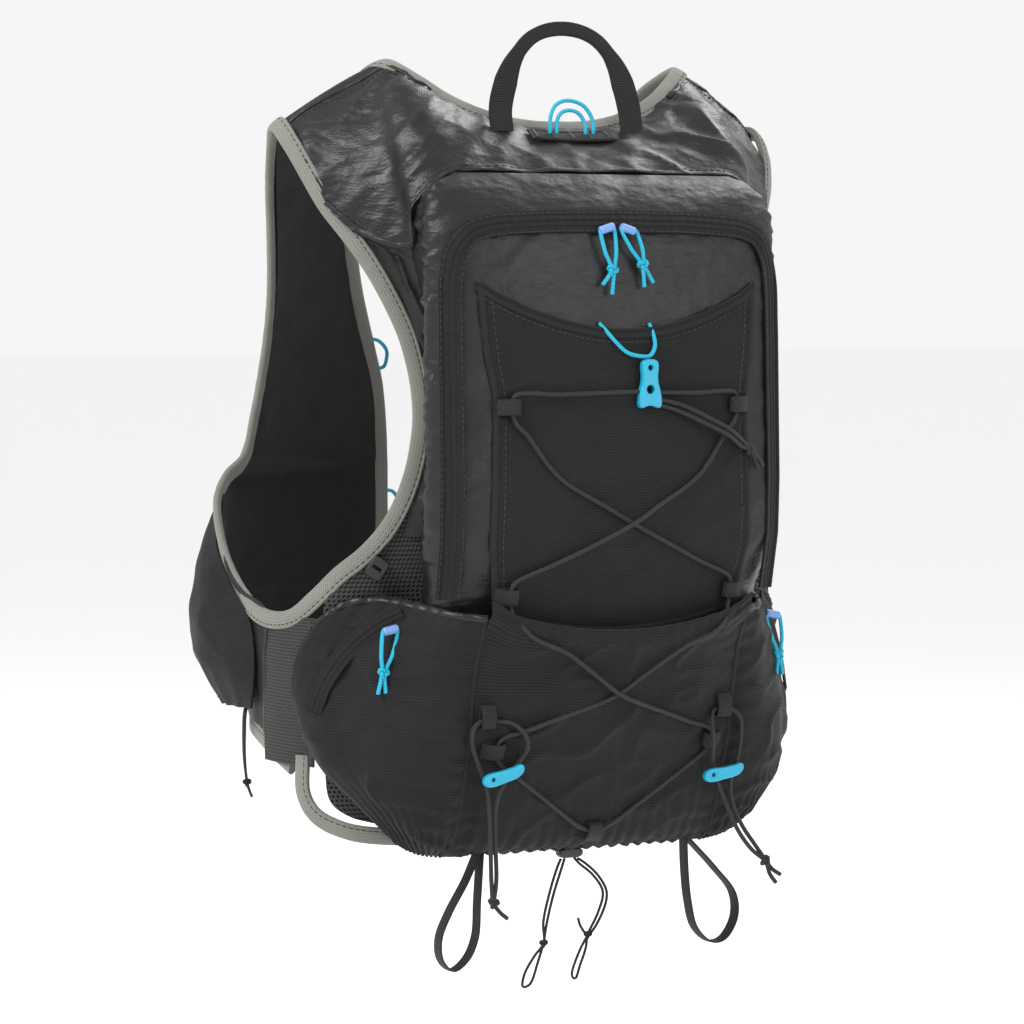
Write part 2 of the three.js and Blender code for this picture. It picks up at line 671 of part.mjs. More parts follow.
// Wing: between the middle pocket and the side, in a patch with four curved edges
const wingTop = smooth([
  [-0.557, -0.37, -0.722], [-0.647, -0.31, -0.718], [-0.707, -0.2, -0.71],
  [-0.8, -0.06, -0.702], [-0.907, -0.01, -0.71], [-0.99, 0.04, -0.738],
].map(bodyPoint));
const wingSide = smooth([
  [-0.99, 0.04, -0.738], [-1.03, 0.09, -0.775], [-1.045, 0.12, -0.825],
  [-1.035, 0.1, -0.88], [-0.98, 0.03, -0.945], [-0.88, -0.05, -0.995], [-0.75, -0.09, -1.05],
].map(bodyPoint));
const wingSeam = smooth([
  ...lowerRows.map(({ z, edge }) => vec(-lowerHalf - seam, -edge * packDepth - lift, z * waistDrop)),
].map((point, i) => (i === 0 ? bodyPoint([-0.557, -0.37, -0.722]) : point)));
const wingFoot = smooth([
  vec(-lowerHalf - seam, -0.2 * packDepth - lift, -1.07 * waistDrop),
  bodyPoint([-0.65, -0.085, -1.065]), bodyPoint([-0.75, -0.09, -1.05]),
]);
const wingCount = 9;
function patchPoint(top, foot, left, right, u, v) {
  const corner = (curve, share) => curve.getPointAt(share);
  const across = corner(top, u).lerp(corner(foot, u), v);
  const down = corner(left, v).lerp(corner(right, v), u);
  const topLine = corner(top, 0).lerp(corner(top, 1), u);
  const footLine = corner(foot, 0).lerp(corner(foot, 1), u);
  return across.add(down).sub(topLine.lerp(footLine, v));
}
const wingGrid = Array.from({ length: wingCount + 1 }, (_, i) => (
  Array.from({ length: wingCount + 1 }, (_unused, j) => {
    const u = j / wingCount;
    const v = i / wingCount;
    const point = patchPoint(wingTop, wingFoot, wingSeam, wingSide, u, v);
    const puff = wingBulge * Math.sin(Math.PI * u) ** 0.8 * Math.sin(Math.PI * v) ** 0.7;
    return point.addScaledVector(level(point), puff);
  })));
placePair('wing', trimmed(sheet(wingGrid, pocketCloth), [
  armBinding(gap), backHemBand(gap), frontHemBand(gap), shellCutter, stashCutter,
  roomFor(lowerGrid, pocketCloth), roomFor(backGrid, spacerMesh),
  roomFor(sideGrid, sideMesh), roomFor(frontGrid, frontCloth),
]), matteBlack);

// Curved zip of each wing
const wingZipLine = smooth([
  [-0.765, -0.16, -0.722], [-0.825, -0.112, -0.738], [-0.915, -0.052, -0.774],
  [-0.985, -0.01, -0.82], [-1.02, 0.01, -0.862],
].map(bodyPoint));
const wingRoom = roomFor(wingGrid, pocketCloth);
const wingZipRise = 1.8;
placePair('zip_wing', trimmed(
  band(wingZipLine, 12, zipWidth, zipThickness, { normalOf: level, plain: true, rise: wingZipRise }),
  [wingRoom, roomFor(backGrid, spacerMesh), armBinding(gap)],
), matteBlack);

// Trim

const cordSides = 8;
// A round cord: its centreline is a list of places in millimetres
function cord(places, diameter) {
  const rim = Array.from({ length: cordSides }, (_, i) => {
    const turn = 2 * Math.PI * i / cordSides;
    return new THREE.Vector2(Math.cos(turn), Math.sin(turn)).multiplyScalar(diameter / 2);
  });
  const path = smooth(places.map(([x, y, z]) => vec(x, y, z)));
  const steps = Math.min(80, Math.max(3, Math.round(path.getLength() / (3 * diameter))));
  return new THREE.ExtrudeGeometry(new THREE.Shape(rim), {
    steps, extrudePath: path, bevelEnabled: false,
  });
}

function knot([x, y, z], radius) {
  const ball = new THREE.SphereGeometry(radius, 8, 6);
  ball.rotateX(Math.PI / 2);
  ball.scale(1, 1, 1.25);
  ball.translate(x, y, z);
  return ball;
}

// Several strands that meet in one knot
function knotted(strands, centre, diameter, radius) {
  return joined(knot(centre, radius), ...strands.map((places) => cord(places, diameter)));
}

// A moulded plate that stands upright, with its back face at y = 0.
// The outline holds shares of its width and height.
function plate(outline, width, height, thickness) {
  const shape = new THREE.Shape(outline.map(([x, z]) => new THREE.Vector2(x * width, z * height)));
  const solid = new THREE.ExtrudeGeometry(shape, { depth: thickness, bevelEnabled: false });
  return solid.rotateX(Math.PI / 2);
}

const cutterReach = 40;       // longer than any plate is thick
const drillSides = 10;
// A round cutter that passes through a plate
function drill(x, z, radius) {
  return new THREE.CylinderGeometry(radius, radius, cutterReach, drillSides).translate(x, 0, z);
}

const yokeRoom = roomFor(yokeGrid, yokeCloth);
const backRoom = roomFor(backGrid, spacerMesh);
const lowerRoom = roomFor(lowerGrid, pocketCloth);

// Handle: flat webbing at its ends, folded double where the hand holds it
const haulHalf = [
  [-1, 0.3, -0.5], [-1, 0.24, -0.2], [-0.93, 0.22, 0.12], [-0.78, 0.2, 0.5],
  [-0.52, 0.18, 0.82], [-0.2, 0.17, 0.96],
].map(([x, y, z]) => vec(x * haulSpan / 2, -y * haulRise, z * haulRise));
const haulLine = smooth([...haulHalf, ...haulHalf.map(flip).reverse()]);
const grip = (share) => Math.min(1, Math.max(0, 1 - (Math.abs(share - 0.5) - 0.2) / 0.12));
place('haul_loop', trimmed(band(
  haulLine, 28,
  (share) => haulWebWidth + (haulGripWidth - haulWebWidth) * grip(share),
  (share) => webThickness + webThickness * grip(share),
  { normalOf: () => vec(0, -1, 0) },
), [yokeRoom, neckBinding(gap)]), webbing);

// Sewn patch with the slit that the two neck cords come out of
const patchGrid = [0.2, 0.3, 0.4].map((share) => [-1, -0.5, 0, 0.5, 1].map((column) => {
  const point = yokePoint(yokeMiddle + column, share);
  return point.addScaledVector(outward(point), yokeCloth / 2 + webThickness / 2 + lift);
}));
const patchRoom = roomFor(patchGrid, webThickness);
place('neck_patch', trimmed(sheet(patchGrid, webThickness), [yokeRoom]), webbing);

const neckOuterRoute = [
  [-13, -11.6, -22.5], [-13, -15, -20.5], [-12.5, -14.5, -12], [-8.5, -13.5, -4.6],
  [0, -12.5, -1.8], [9.5, -13.5, -4.6], [14.5, -14.5, -12], [15, -15, -20.5], [15, -11.6, -22.5],
];
const neckInnerRoute = [
  [-9, -11.6, -23], [-9, -15, -21], [-8, -14.5, -13], [-4.5, -13.8, -8.6],
  [0.5, -13.5, -7.4], [5.5, -13.8, -8.6], [9, -14.5, -13], [10, -15, -21], [10, -11.6, -23],
];
place('neck_cord_outer', trimmed(cord(neckOuterRoute, blueDiameter), [patchRoom, yokeRoom]), blue);
place('neck_cord_inner', trimmed(cord(neckInnerRoute, blueDiameter), [patchRoom, yokeRoom]), blue);

// Lacing, one cord from the hook down one side and up the other. The list holds
// the left half; over is how far the second pass lies outside the first.
const laceHalf = [
  { x: 19.2, y: -84.9, z: -166.6, over: 0 },
  { x: 45, y: -83.4, z: -167.2, over: 0 },
  { x: 63, y: -81.8, z: -166.4, over: 0 },
  { x: 69.8, y: -80.9, z: -167.2, over: 0 },
  { x: 71.5, y: -80.5, z: -170, over: 0 },
  { x: 71.5, y: -80.5, z: -178, over: 0 },
  { x: 69.8, y: -80.9, z: -183, over: 0 },
  { x: 64, y: -82, z: -189, over: 0 },
  { x: 45.3, y: -84.7, z: -212.7, over: 0 },
  { x: 15.3, y: -87, z: -230.5, over: 1.6 },
  { x: 0, y: -87.2, z: -239, over: 3.4 },
  { x: -26.9, y: -85.2, z: -252.4, over: 1.2 },
  { x: -50, y: -80.2, z: -263, over: 0 },
  { x: -64, y: -77.6, z: -268.6, over: 0 },
  { x: -69.2, y: -76.8, z: -271.8, over: 0 },
  { x: -70.3, y: -76.1, z: -276, over: 0 },
  { x: -70.3, y: -74.4, z: -282, over: 0 },
  { x: -69, y: -75.6, z: -288.4, over: 0 },
  { x: -65.4, y: -79.6, z: -295, over: 0 },
  { x: -58, y: -81.2, z: -302, over: 0 },
  { x: -38, y: -80, z: -310.5, over: 0 },
  { x: -16.4, y: -75, z: -324.8, over: 1.6 },
  { x: 0, y: -71.6, z: -336.2, over: 3.4 },
  { x: 35.7, y: -65.5, z: -349.1, over: 0.6 },
  { x: 54, y: -61.4, z: -355.4, over: 0 },
  { x: 64.6, y: -58.8, z: -358.2, over: 0 },
  { x: 68, y: -57.6, z: -361, over: 0 },
  { x: 68.6, y: -55.8, z: -366.1, over: 0 },
  { x: 68, y: -54.4, z: -370.6, over: 0 },
  { x: 64.4, y: -54, z: -374.8, over: 0 },
  { x: 55, y: -52.8, z: -381.5, over: 0 },
  { x: 25.7, y: -47.4, z: -402.5, over: 0 },
  { x: 12, y: -44.6, z: -412, over: 0 },
  { x: 5, y: -43.8, z: -415.2, over: 0 },
];
const laceRoute = [
  [5.2, -84.9, -166],
  ...laceHalf.map(({ x, y, z }) => [-x, y, z]),
  [0, -43.7, -415.4],
  ...laceHalf.map(({ x, y, z, over }) => [x, y - over, z]).reverse(),
];
place('lace_cord', cord(laceRoute, laceDiameter), webbing);

// Webbing loops that hold the lacing. Each is folded round the cord, and both of
// its ends lie in the seam. The foot is the seam end, the reach the fold's end.
const laceHole = laceDiameter + 3 * gap;
const laceRoom = cord(laceRoute, laceDiameter + 2 * gap);
const loopRooms = [stashCutter, shellCutter, lowerRoom, wingRoom, laceRoom, mirrored(laceRoom)];
function laceLoop(foot, toward, along) {
  const reach = vec(...toward).normalize();
  const side = vec(...along);
  const away = side.clone().cross(reach).normalize();
  if (away.y > 0) away.negate();
  const high = webThickness * 1.5 + laceHole;
  const fold = [
    [0, 0.5], [0.4, 0.5], [0.86, 0.55], [0.97, 0.5 + high * 0.22 / webThickness],
    [0.97, high * 0.78 / webThickness], [0.86, high / webThickness], [0.4, high / webThickness],
    [0, high * 0.7 / webThickness],
  ];
  const grid = fold.map(([far, up]) => [-0.5, 0.5].map((edge) => vec(...foot)
    .addScaledVector(reach, far * laceWebReach)
    .addScaledVector(away, up * webThickness + gap)
    .addScaledVector(side, edge * laceWebWidth)));
  return trimmed(sheet(grid, webThickness), loopRooms);
}
placePair('lace_loop_upper', laceLoop([-78, -75.8, -174], [0.977, -0.213, 0], [0, 0, 1]), webbing);
placePair('lace_loop_middle', laceLoop([-77, -70.8, -278], [0.98, -0.196, 0], [0, -0.27, 0.963]), webbing);
placePair('lace_loop_low', laceLoop([-75, -51, -365], [0.965, -0.263, 0], [0, -0.36, 0.933]), webbing);
placePair('lace_loop_clip', laceLoop([-76, -57.2, -341], [0, 0.18, -0.98], [1, 0, 0]), webbing);
place('lace_loop_bottom', laceLoop([0, -37, -420], [0, -0.533, 0.846], [1, 0, 0]), webbing);

// Hook that gathers the lacing, and the blue cord that it hangs from
const hookPlace = { x: 12, y: -83.1, z: -148.2 };
const hookOutline = [
  [-0.24, 0], [0.24, 0], [0.36, -0.08], [0.3, -0.36], [0.5, -0.74], [0.5, -1],
  [0.16, -0.93], [-0.16, -0.93], [-0.5, -1], [-0.5, -0.74], [-0.3, -0.36], [-0.36, -0.08],
];
const hookHole = { high: -0.17, low: -0.62, highRadius: 1.6, lowRadius: 2.4 };
const hookSolid = trimmed(plate(hookOutline, hookWidth, hookLength, hookThickness), [
  drill(0, hookHole.high * hookLength, hookHole.highRadius),
  drill(0, hookHole.low * hookLength, hookHole.lowRadius),
]);
hookSolid.translate(hookPlace.x, hookPlace.y, hookPlace.z);
place('hook', hookSolid, plastic);

const hookCordRoute = [
  [-16, -77.6, -128], [-13, -80, -132], [-8, -82.6, -138.5], [-1, -83.4, -144.4],
  [7, -84, -146.4], [13, -84, -146.2], [16.8, -83, -141], [17, -80.6, -134], [16, -77.8, -128.4],
];
place('hook_cord', trimmed(cord(hookCordRoute, blueDiameter), [stashCutter, shellCutter]), blue);

const tailKnot = [80.5, -80.6, -199.6];
place('lace_tail', knotted([
  [
    [18.9, -84.9, -170.6], [33, -85.6, -174], [50, -87, -181.5], [64, -87.2, -188.5],
    [74, -83.6, -195], tailKnot,
  ],
  [
    [18.9, -84.9, -173.6], [32, -85.6, -177.6], [49, -87, -185], [63, -87.2, -191.5],
    [73, -83.6, -197.6], tailKnot,
  ],
  [tailKnot, [84, -79.5, -205], [86.5, -78.6, -210.5]],
  [tailKnot, [87, -78.6, -205], [91, -77, -209.5]],
], tailKnot, laceDiameter, knotRadius), webbing);

// Hook-shaped cord clips, each on a doubled cord with a knot below
const clipOutline = [
  [-0.5, -0.2], [-0.36, -0.5], [0.3, -0.36], [0.5, 0.05], [0.5, 0.5], [0.34, 0.36],
  [-0.34, 0.42], [-0.48, 0.2],
];
const clipHole = { along: -0.28, radius: 1.1 };
function clipAt(x, y, z, tilt) {
  const solid = plate(clipOutline, clipLength, clipHeight, clipThickness);
  return trimmed(solid, [drill(clipHole.along * clipLength, 0, clipHole.radius)]).rotateY(tilt).translate(x, y, z);
}
place('clip_left', clipAt(-67, -58.6, -380, -0.2), plastic);
place('clip_right', clipAt(77, -55.6, -386, -0.1), plastic);

const leftKnot = [-68, -50.6, -452];
place('clip_cord_left', knotted([
  [
    leftKnot, [-69.5, -50.8, -440], [-70.5, -51, -405], [-73.5, -52.4, -386], [-79, -53.8, -374],
    [-84, -56, -362], [-84.6, -58.6, -352.5], [-80.6, -59, -348.9], [-71.4, -59, -348.9],
    [-62, -62, -350.6], [-55.5, -65, -357], [-52.6, -62.4, -364.6], [-53.8, -58, -370.4],
    [-57.5, -56.9, -375.4], [-62.5, -56.8, -382], [-66.6, -53.6, -392], [-67.4, -51.2, -405],
    [-66.4, -50.8, -440], leftKnot,
  ],
  [leftKnot, [-64, -50.4, -457.5], [-59, -50, -461.5]],
], leftKnot, laceDiameter, knotRadius), webbing);

const rightKnot = [111, -49, -440];
place('clip_cord_right', knotted([
  [
    rightKnot, [101, -49.8, -432.5], [91.5, -50.6, -421], [84.5, -51, -408], [78, -51.8, -394],
    [72, -54.6, -381], [68.4, -61, -371], [66.6, -63.6, -361], [67, -61.4, -352],
    [70.4, -59, -348.9], [80.6, -59, -348.9], [87.5, -58.4, -354], [90, -55.6, -366],
    [88.4, -53.6, -380], [85, -52.4, -392], [87.6, -51, -405.6], [94.4, -50.6, -418.6],
    [103, -49.8, -429.6], rightKnot,
  ],
  [rightKnot, [115.5, -49, -445], [121, -49, -448.5]],
  [rightKnot, [114, -49, -448], [118, -49, -453]],
], rightKnot, laceDiameter, knotRadius), webbing);

// Zip pulls: a sleeve on the slider, a cord folded through it, a knot and two tails
const sleeveRadius = 2.3;
const sleeveLength = 9;
function zipPull(top, centre, tails, lean) {
  const sleeve = new THREE.CylinderGeometry(sleeveRadius, sleeveRadius, sleeveLength, 8);
  sleeve.rotateZ(Math.PI / 2 + lean).translate(...top);
  const strands = [-1, 1].map((side) => {
    const sideways = vec(side * 2.6, 0, -0.5);
    const hung = vec(...top).add(sideways);
    const middle = hung.clone().lerp(vec(...centre).add(vec(side * 0.9, 0, 0)), 0.6);
    return [hung.toArray(), middle.add(vec(side * 0.8, -0.6, 0)).toArray(), centre];
  });
  const ends = tails.map((tail) => [centre, vec(...centre).lerp(vec(...tail), 0.5).toArray(), tail]);
  const cords = [...strands, ...ends].map((places) => cord(places, blueDiameter));
  return joined(sleeve, knot(centre, knotRadius), ...cords);
}
place('zip_pull_main_left', zipPull(
  [-11, -77.4, -75.5], [-8.4, -79.6, -98.5], [[-14.4, -79, -106.8], [-8.5, -79.2, -112]], 0.3), blue);
place('zip_pull_main_right', zipPull(
  [2.5, -77.4, -75.8], [11.1, -79.4, -95.6], [[12.2, -79.2, -107.9], [18, -78.8, -105.5]], -0.3), blue);
placePair('zip_pull_wing', zipPull(
  [-124, -34.4, -298], [-128.5, -34.7, -321.6], [[-131.5, -33.7, -333.5], [-127, -34.3, -333]], 0.2), blue);

// Webbing loops that hang under the pack, edge on to the back
function hangingWeb(places, width, thickness) {
  const line = smooth(places.map(([x, y, z]) => vec(x, y, z)));
  const steps = 22;
  const grid = Array.from({ length: steps + 1 }, (_, i) => {
    const point = line.getPointAt(i / steps);
    return [-0.5, 0.5].map((edge) => point.clone().add(vec(0, edge * width, 0)));
  });
  return sheet(grid, thickness);
}
place('axe_loop_left', hangingWeb([
  [-62.5, -20, -429.3], [-70, -20, -443], [-81, -20, -461], [-87, -20, -475], [-86, -20, -487],
  [-79, -20, -493.5], [-70, -20, -488], [-64, -20, -476], [-62.5, -20, -455], [-60.6, -20, -429.3],
], axeWebWidth, webThickness), webbing);
place('axe_loop_right', hangingWeb([
  [72.6, -20, -429.4], [73.5, -20, -447], [75.5, -20, -464], [80, -20, -480], [90, -20, -489],
  [99, -20, -488], [107, -20, -476], [106, -20, -462], [93, -20, -446], [74.6, -20, -429.4],
], axeWebWidth, webThickness), webbing);

// Thin cords under the middle of the pack, out of a small cord lock
const lockSize = { width: 15, depth: 6, height: 5, x: -1.5, y: -17.5, z: -431.6 };
const lock = new THREE.BoxGeometry(lockSize.width, lockSize.depth, lockSize.height);
lock.translate(lockSize.x, lockSize.y, lockSize.z);
place('hem_toggle', lock, webbing);

const hemLeftKnot = [-18, -17, -483];
place('hem_cord_left', knotted([
  [[-7, -17.5, -434.9], [-9.5, -17.5, -440], [-14.4, -17, -455], [-18.2, -17, -471], hemLeftKnot],
  [[-4.6, -17.5, -434.9], [-6.8, -17.5, -441], [-11.8, -17, -456], [-15.8, -17, -471], hemLeftKnot],
  [
    hemLeftKnot, [-24, -17, -490], [-30.5, -17, -500], [-31.5, -17, -507], [-27, -17, -506],
    [-21.5, -17, -493], hemLeftKnot,
  ],
], hemLeftKnot, thinDiameter, thinKnotRadius), webbing);
const hemRightKnot = [11, -17, -480];
place('hem_cord_right', knotted([
  [
    [1.6, -17.5, -435], [5, -17.5, -438.4], [14.5, -17, -446], [20.8, -17, -456],
    [17.5, -17, -468], hemRightKnot,
  ],
  [
    [4, -17.5, -435.4], [8.5, -17.5, -438.2], [18, -17, -446.6], [23.4, -17, -456.6],
    [20.2, -17, -468.6], hemRightKnot,
  ],
  [
    hemRightKnot, [9.5, -17, -488], [6, -17, -497], [2.6, -17, -505], [0.5, -17, -503],
    [5, -17, -490], hemRightKnot,
  ],
  [hemRightKnot, [6, -17, -474.5], [4.5, -17, -470]],
], hemRightKnot, thinDiameter, thinKnotRadius), webbing);

// Thin cords out of the foot of each front pocket
const pocketKnot = [-155.2, 90, -394];
placePair('pocket_cord', knotted([
  [[-156.2, 90, -354], [-156.6, 90, -366], [-156.6, 90, -380], pocketKnot],
  [[-155.8, 92.6, -354], [-156.2, 92.6, -366], [-156, 92, -381], pocketKnot],
  [pocketKnot, [-153.6, 90, -399], [-152.1, 90, -402.5]],
], pocketKnot, thinDiameter, thinKnotRadius), webbing);

// Small strap buckle on the back panel below each armhole
const buckleWidth = 10;
const buckleHeight = 12;
const buckleThickness = 3;
const buckleOutline = [
  [-0.4, -0.5], [0.4, -0.5], [0.5, -0.35], [0.5, 0.35],
  [0.4, 0.5], [-0.4, 0.5], [-0.5, 0.35], [-0.5, -0.35],
];
const buckleWindow = { width: 6, height: 2.4 };
const buckleSlot = new THREE.BoxGeometry(buckleWindow.width, cutterReach, buckleWindow.height);
const buckle = trimmed(plate(buckleOutline, buckleWidth, buckleHeight, buckleThickness), [buckleSlot]);
buckle.rotateY(0.6).rotateZ(-0.3).translate(-119.9, -8.6, -265.1);
placePair('strap_buckle', trimmed(buckle, [backRoom, armBinding(gap), wingRoom, yokeRoom]), webbing);

// Cord loops that stick out of the front edges
function edgeSpot(z) {
  const shares = Array.from({ length: 240 }, (_, i) => 0.35 + 0.65 * i / 239);
  const near = shares.map((share) => frontEdge.getPointAt(share));
  return near.reduce((best, spot) => (Math.abs(spot.z - z) < Math.abs(best.z - z) ? spot : best));
}
const edgeLoopReach = 7.5;
function edgeLoop(highZ, lowZ) {
  const inset = bindingWidth / 2 + gap;
  const high = edgeSpot(highZ).add(vec(inset, 0, 0));
  const low = edgeSpot(lowZ).add(vec(inset, 0, 0));
  const middle = high.clone().lerp(low, 0.5);
  const places = [
    high, high.clone().add(vec(0.55 * edgeLoopReach, 0, -1)),
    middle.clone().add(vec(edgeLoopReach, 0, 2)), middle.clone().add(vec(edgeLoopReach, 0, -3)),
    low.clone().add(vec(0.45 * edgeLoopReach, 0, 1)), low,
  ];
  return trimmed(cord(places.map((spot) => spot.toArray()), blueDiameter), [neckBinding(gap)]);
}
placePair('edge_loop_upper', edgeLoop(-139, -157), blue);
placePair('edge_loop_lower', edgeLoop(-232, -248), blue);

export default group;
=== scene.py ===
import bpy
import math
from mathutils import Matrix, Vector, noise


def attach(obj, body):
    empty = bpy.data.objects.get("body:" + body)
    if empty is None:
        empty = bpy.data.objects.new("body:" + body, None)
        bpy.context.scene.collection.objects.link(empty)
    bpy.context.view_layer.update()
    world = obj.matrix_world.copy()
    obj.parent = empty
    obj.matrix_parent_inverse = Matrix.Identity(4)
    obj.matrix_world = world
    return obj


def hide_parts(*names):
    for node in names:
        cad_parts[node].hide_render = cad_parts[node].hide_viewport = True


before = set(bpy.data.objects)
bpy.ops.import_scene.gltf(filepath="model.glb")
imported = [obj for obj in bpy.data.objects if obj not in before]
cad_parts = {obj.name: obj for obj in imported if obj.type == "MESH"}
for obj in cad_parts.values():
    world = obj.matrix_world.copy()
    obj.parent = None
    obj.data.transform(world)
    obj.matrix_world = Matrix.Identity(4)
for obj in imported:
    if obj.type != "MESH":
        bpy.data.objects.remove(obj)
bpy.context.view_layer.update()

# Lengths are in millimetres until a mesh is made
MM = 0.001
CHEST_HALF, CHEST_DEPTH, WAIST_DROP = 150, 200, 400
PACK_HALF, PACK_DEPTH = 110, 80
STASH_HALF, LOWER_HALF = 84, 83
# How far a pocket's cloth lies over what it covers
LIFT = 0.8
# How far the filled pockets stand out
POCKET_PUFF, STASH_PUFF, WING_PUFF = 17, 3, 21.5
BINDING_HALF, BINDING_RISE = 4.85, 2.45
SPOTS_PER_POINT, KNOT_STEPS, PATH_STEPS = 24, 18, 40
# The body's middle, which panels face away from
HEART_Y = 0.42 * CHEST_DEPTH
BEHIND = Vector((0, -1, 0))
SIDES = (("left", False), ("right", True))


def add_object(name, data):
    obj = bpy.data.objects.new(name, data)
    bpy.context.scene.collection.objects.link(obj)
    return obj


# Camera at the photograph's angle
AZIMUTH, ELEVATION, DISTANCE = math.radians(-28), math.radians(3), 2.4
PICTURE_WIDTH = 0.5888
cam_right = Vector((math.cos(AZIMUTH), math.sin(AZIMUTH), 0))
cam_back = Vector((
    math.sin(AZIMUTH) * math.cos(ELEVATION),
    -math.cos(AZIMUTH) * math.cos(ELEVATION),
    math.sin(ELEVATION),
))
SENSOR, AIM = 36, cam_right * -0.026 + Vector((0, 0, -0.237))
camera_data = bpy.data.cameras.new("camera")
camera_data.sensor_width = SENSOR
camera_data.lens = SENSOR * DISTANCE / PICTURE_WIDTH
camera_data.clip_end = 100
camera = add_object("camera", camera_data)
camera.location = AIM + cam_back * DISTANCE
camera.rotation_mode = "QUATERNION"
camera.rotation_quaternion = (-cam_back).to_track_quat("-Z", "Y")
bpy.context.scene.camera = camera


# Node helpers
def set_inputs(node, **values):
    """Sets sockets by name, with _ for a space."""
    for key, value in values.items():
        node.inputs[key.replace("_", " ")].default_value = value


class Tree:
    """Adds shader nodes and links to one material."""

    def __init__(self, name):
        self.material = bpy.data.materials.new(name)
        self.material.use_nodes = True
        self.nodes = self.material.node_tree.nodes
        self.links = self.material.node_tree.links
        self.shader = self.nodes["Principled BSDF"]

    def add(self, kind, **settings):
        node = self.nodes.new(kind)
        for key, value in settings.items():
            setattr(node, key, value)
        return node

    def put(self, value, socket):
        if isinstance(value, (int, float, tuple)):
            socket.default_value = value
        else:
            self.links.new(value, socket)

    def math(self, operation, a, b=0.0, c=0.0):
        node = self.add("ShaderNodeMath", operation=operation)
        for value, socket in zip((a, b, c), node.inputs):
            self.put(value, socket)
        return node.outputs[0]

    def wave(self, phase):
        """0 to 1, once for each whole number of the phase."""
        turned = self.math("SINE", self.math("MULTIPLY", phase, 2 * math.pi))
        return self.math("MULTIPLY_ADD", turned, 0.5, 0.5)

    def noise(self, scale, detail=2.0, rough=0.5, stretch=(1, 1, 1)):
        mapping, node = self.add("ShaderNodeMapping"), self.add("ShaderNodeTexNoise")
        self.links.new(self.add("ShaderNodeTexCoord").outputs["Object"], mapping.inputs["Vector"])
        self.links.new(mapping.outputs[0], node.inputs["Vector"])
        set_inputs(mapping, Scale=stretch)
        set_inputs(node, Scale=scale, Detail=detail, Roughness=rough)
        return node.outputs["Fac"]

    def cloth_coords(self, period):
        """The two cloth directions, in threads of the given period in millimetres."""
        coords = self.add("ShaderNodeTexCoord").outputs["UV"]
        parts = self.add("ShaderNodeSeparateXYZ")
        self.links.new(coords, parts.inputs[0])
        count = 1000 / period
        return [self.math("MULTIPLY", parts.outputs[i], count) for i in range(2)]

    def mix(self, share, low, high):
        node = self.add("ShaderNodeMix", data_type="RGBA")
        self.put(share, node.inputs[0])
        self.put(low, node.inputs[6])
        self.put(high, node.inputs[7])
        return node.outputs[2]

    def span(self, value, low, high):
        node = self.add("ShaderNodeMapRange")
        self.put(value, node.inputs[0])
        set_inputs(node, To_Min=low, To_Max=high)
        return node.outputs[0]

    def bump(self, height, depth, strength=1, below=None):
        """Relief of a depth in millimetres, laid over the relief below."""
        node = self.add("ShaderNodeBump")
        set_inputs(node, Strength=strength, Distance=depth * MM)
        self.links.new(height, node.inputs["Height"])
        if below:
            self.links.new(below, node.inputs["Normal"])
        return node.outputs[0]

    def finish(self, colour, rough, normal):
        for key, output in (("Base Color", colour), ("Roughness", rough), ("Normal", normal)):
            self.links.new(output, self.shader.inputs[key])
        return self.material


def pattern_height(tree, kind, period):
    u, v = tree.cloth_coords(period)
    if kind == "plain":
        return tree.math("MULTIPLY_ADD", tree.wave(u), 0.5, tree.math("MULTIPLY", tree.wave(v), 0.5))
    if kind == "rib":
        thread = tree.wave(tree.math("MULTIPLY", u, 1.7))
        return tree.math("MULTIPLY_ADD", tree.wave(v), 0.75, tree.math("MULTIPLY", thread, 0.25))
    if kind == "twill":
        return tree.wave(tree.math("ADD", u, v))
    if kind == "knit":
        zigzag = tree.math("PINGPONG", u, 0.5)
        return tree.wave(tree.math("ADD", v, tree.math("MULTIPLY", zigzag, 1.5)))
    if kind == "herring":
        zigzag = tree.math("PINGPONG", tree.math("MULTIPLY", v, 0.25), 0.5)
        return tree.wave(tree.math("ADD", u, tree.math("MULTIPLY", zigzag, 4.0)))
    if kind == "holes":
        row = tree.math("FLOOR", v)
        odd = tree.math("MULTIPLY", tree.math("PINGPONG", row, 1.0), 0.5)
        across = tree.math("SUBTRACT", tree.math("FRACT", tree.math("ADD", u, odd)), 0.5)
        along = tree.math("SUBTRACT", tree.math("FRACT", v), 0.5)
        squares = [tree.math("MULTIPLY", side, side) for side in (across, along)]
        node = tree.add("ShaderNodeMapRange", interpolation_type="SMOOTHSTEP")
        tree.put(tree.math("SQRT", tree.math("ADD", *squares)), node.inputs[0])
        set_inputs(node, From_Min=0.18, From_Max=0.42)
        return node.outputs[0]
    # A braid on a round cord: u runs along it and v round it
    strands = tree.math("MULTIPLY", v, 4 * period / 1000)
    one = tree.wave(tree.math("ADD", strands, u))
    two = tree.wave(tree.math("SUBTRACT", strands, u))
    return tree.math("MAXIMUM", one, two)


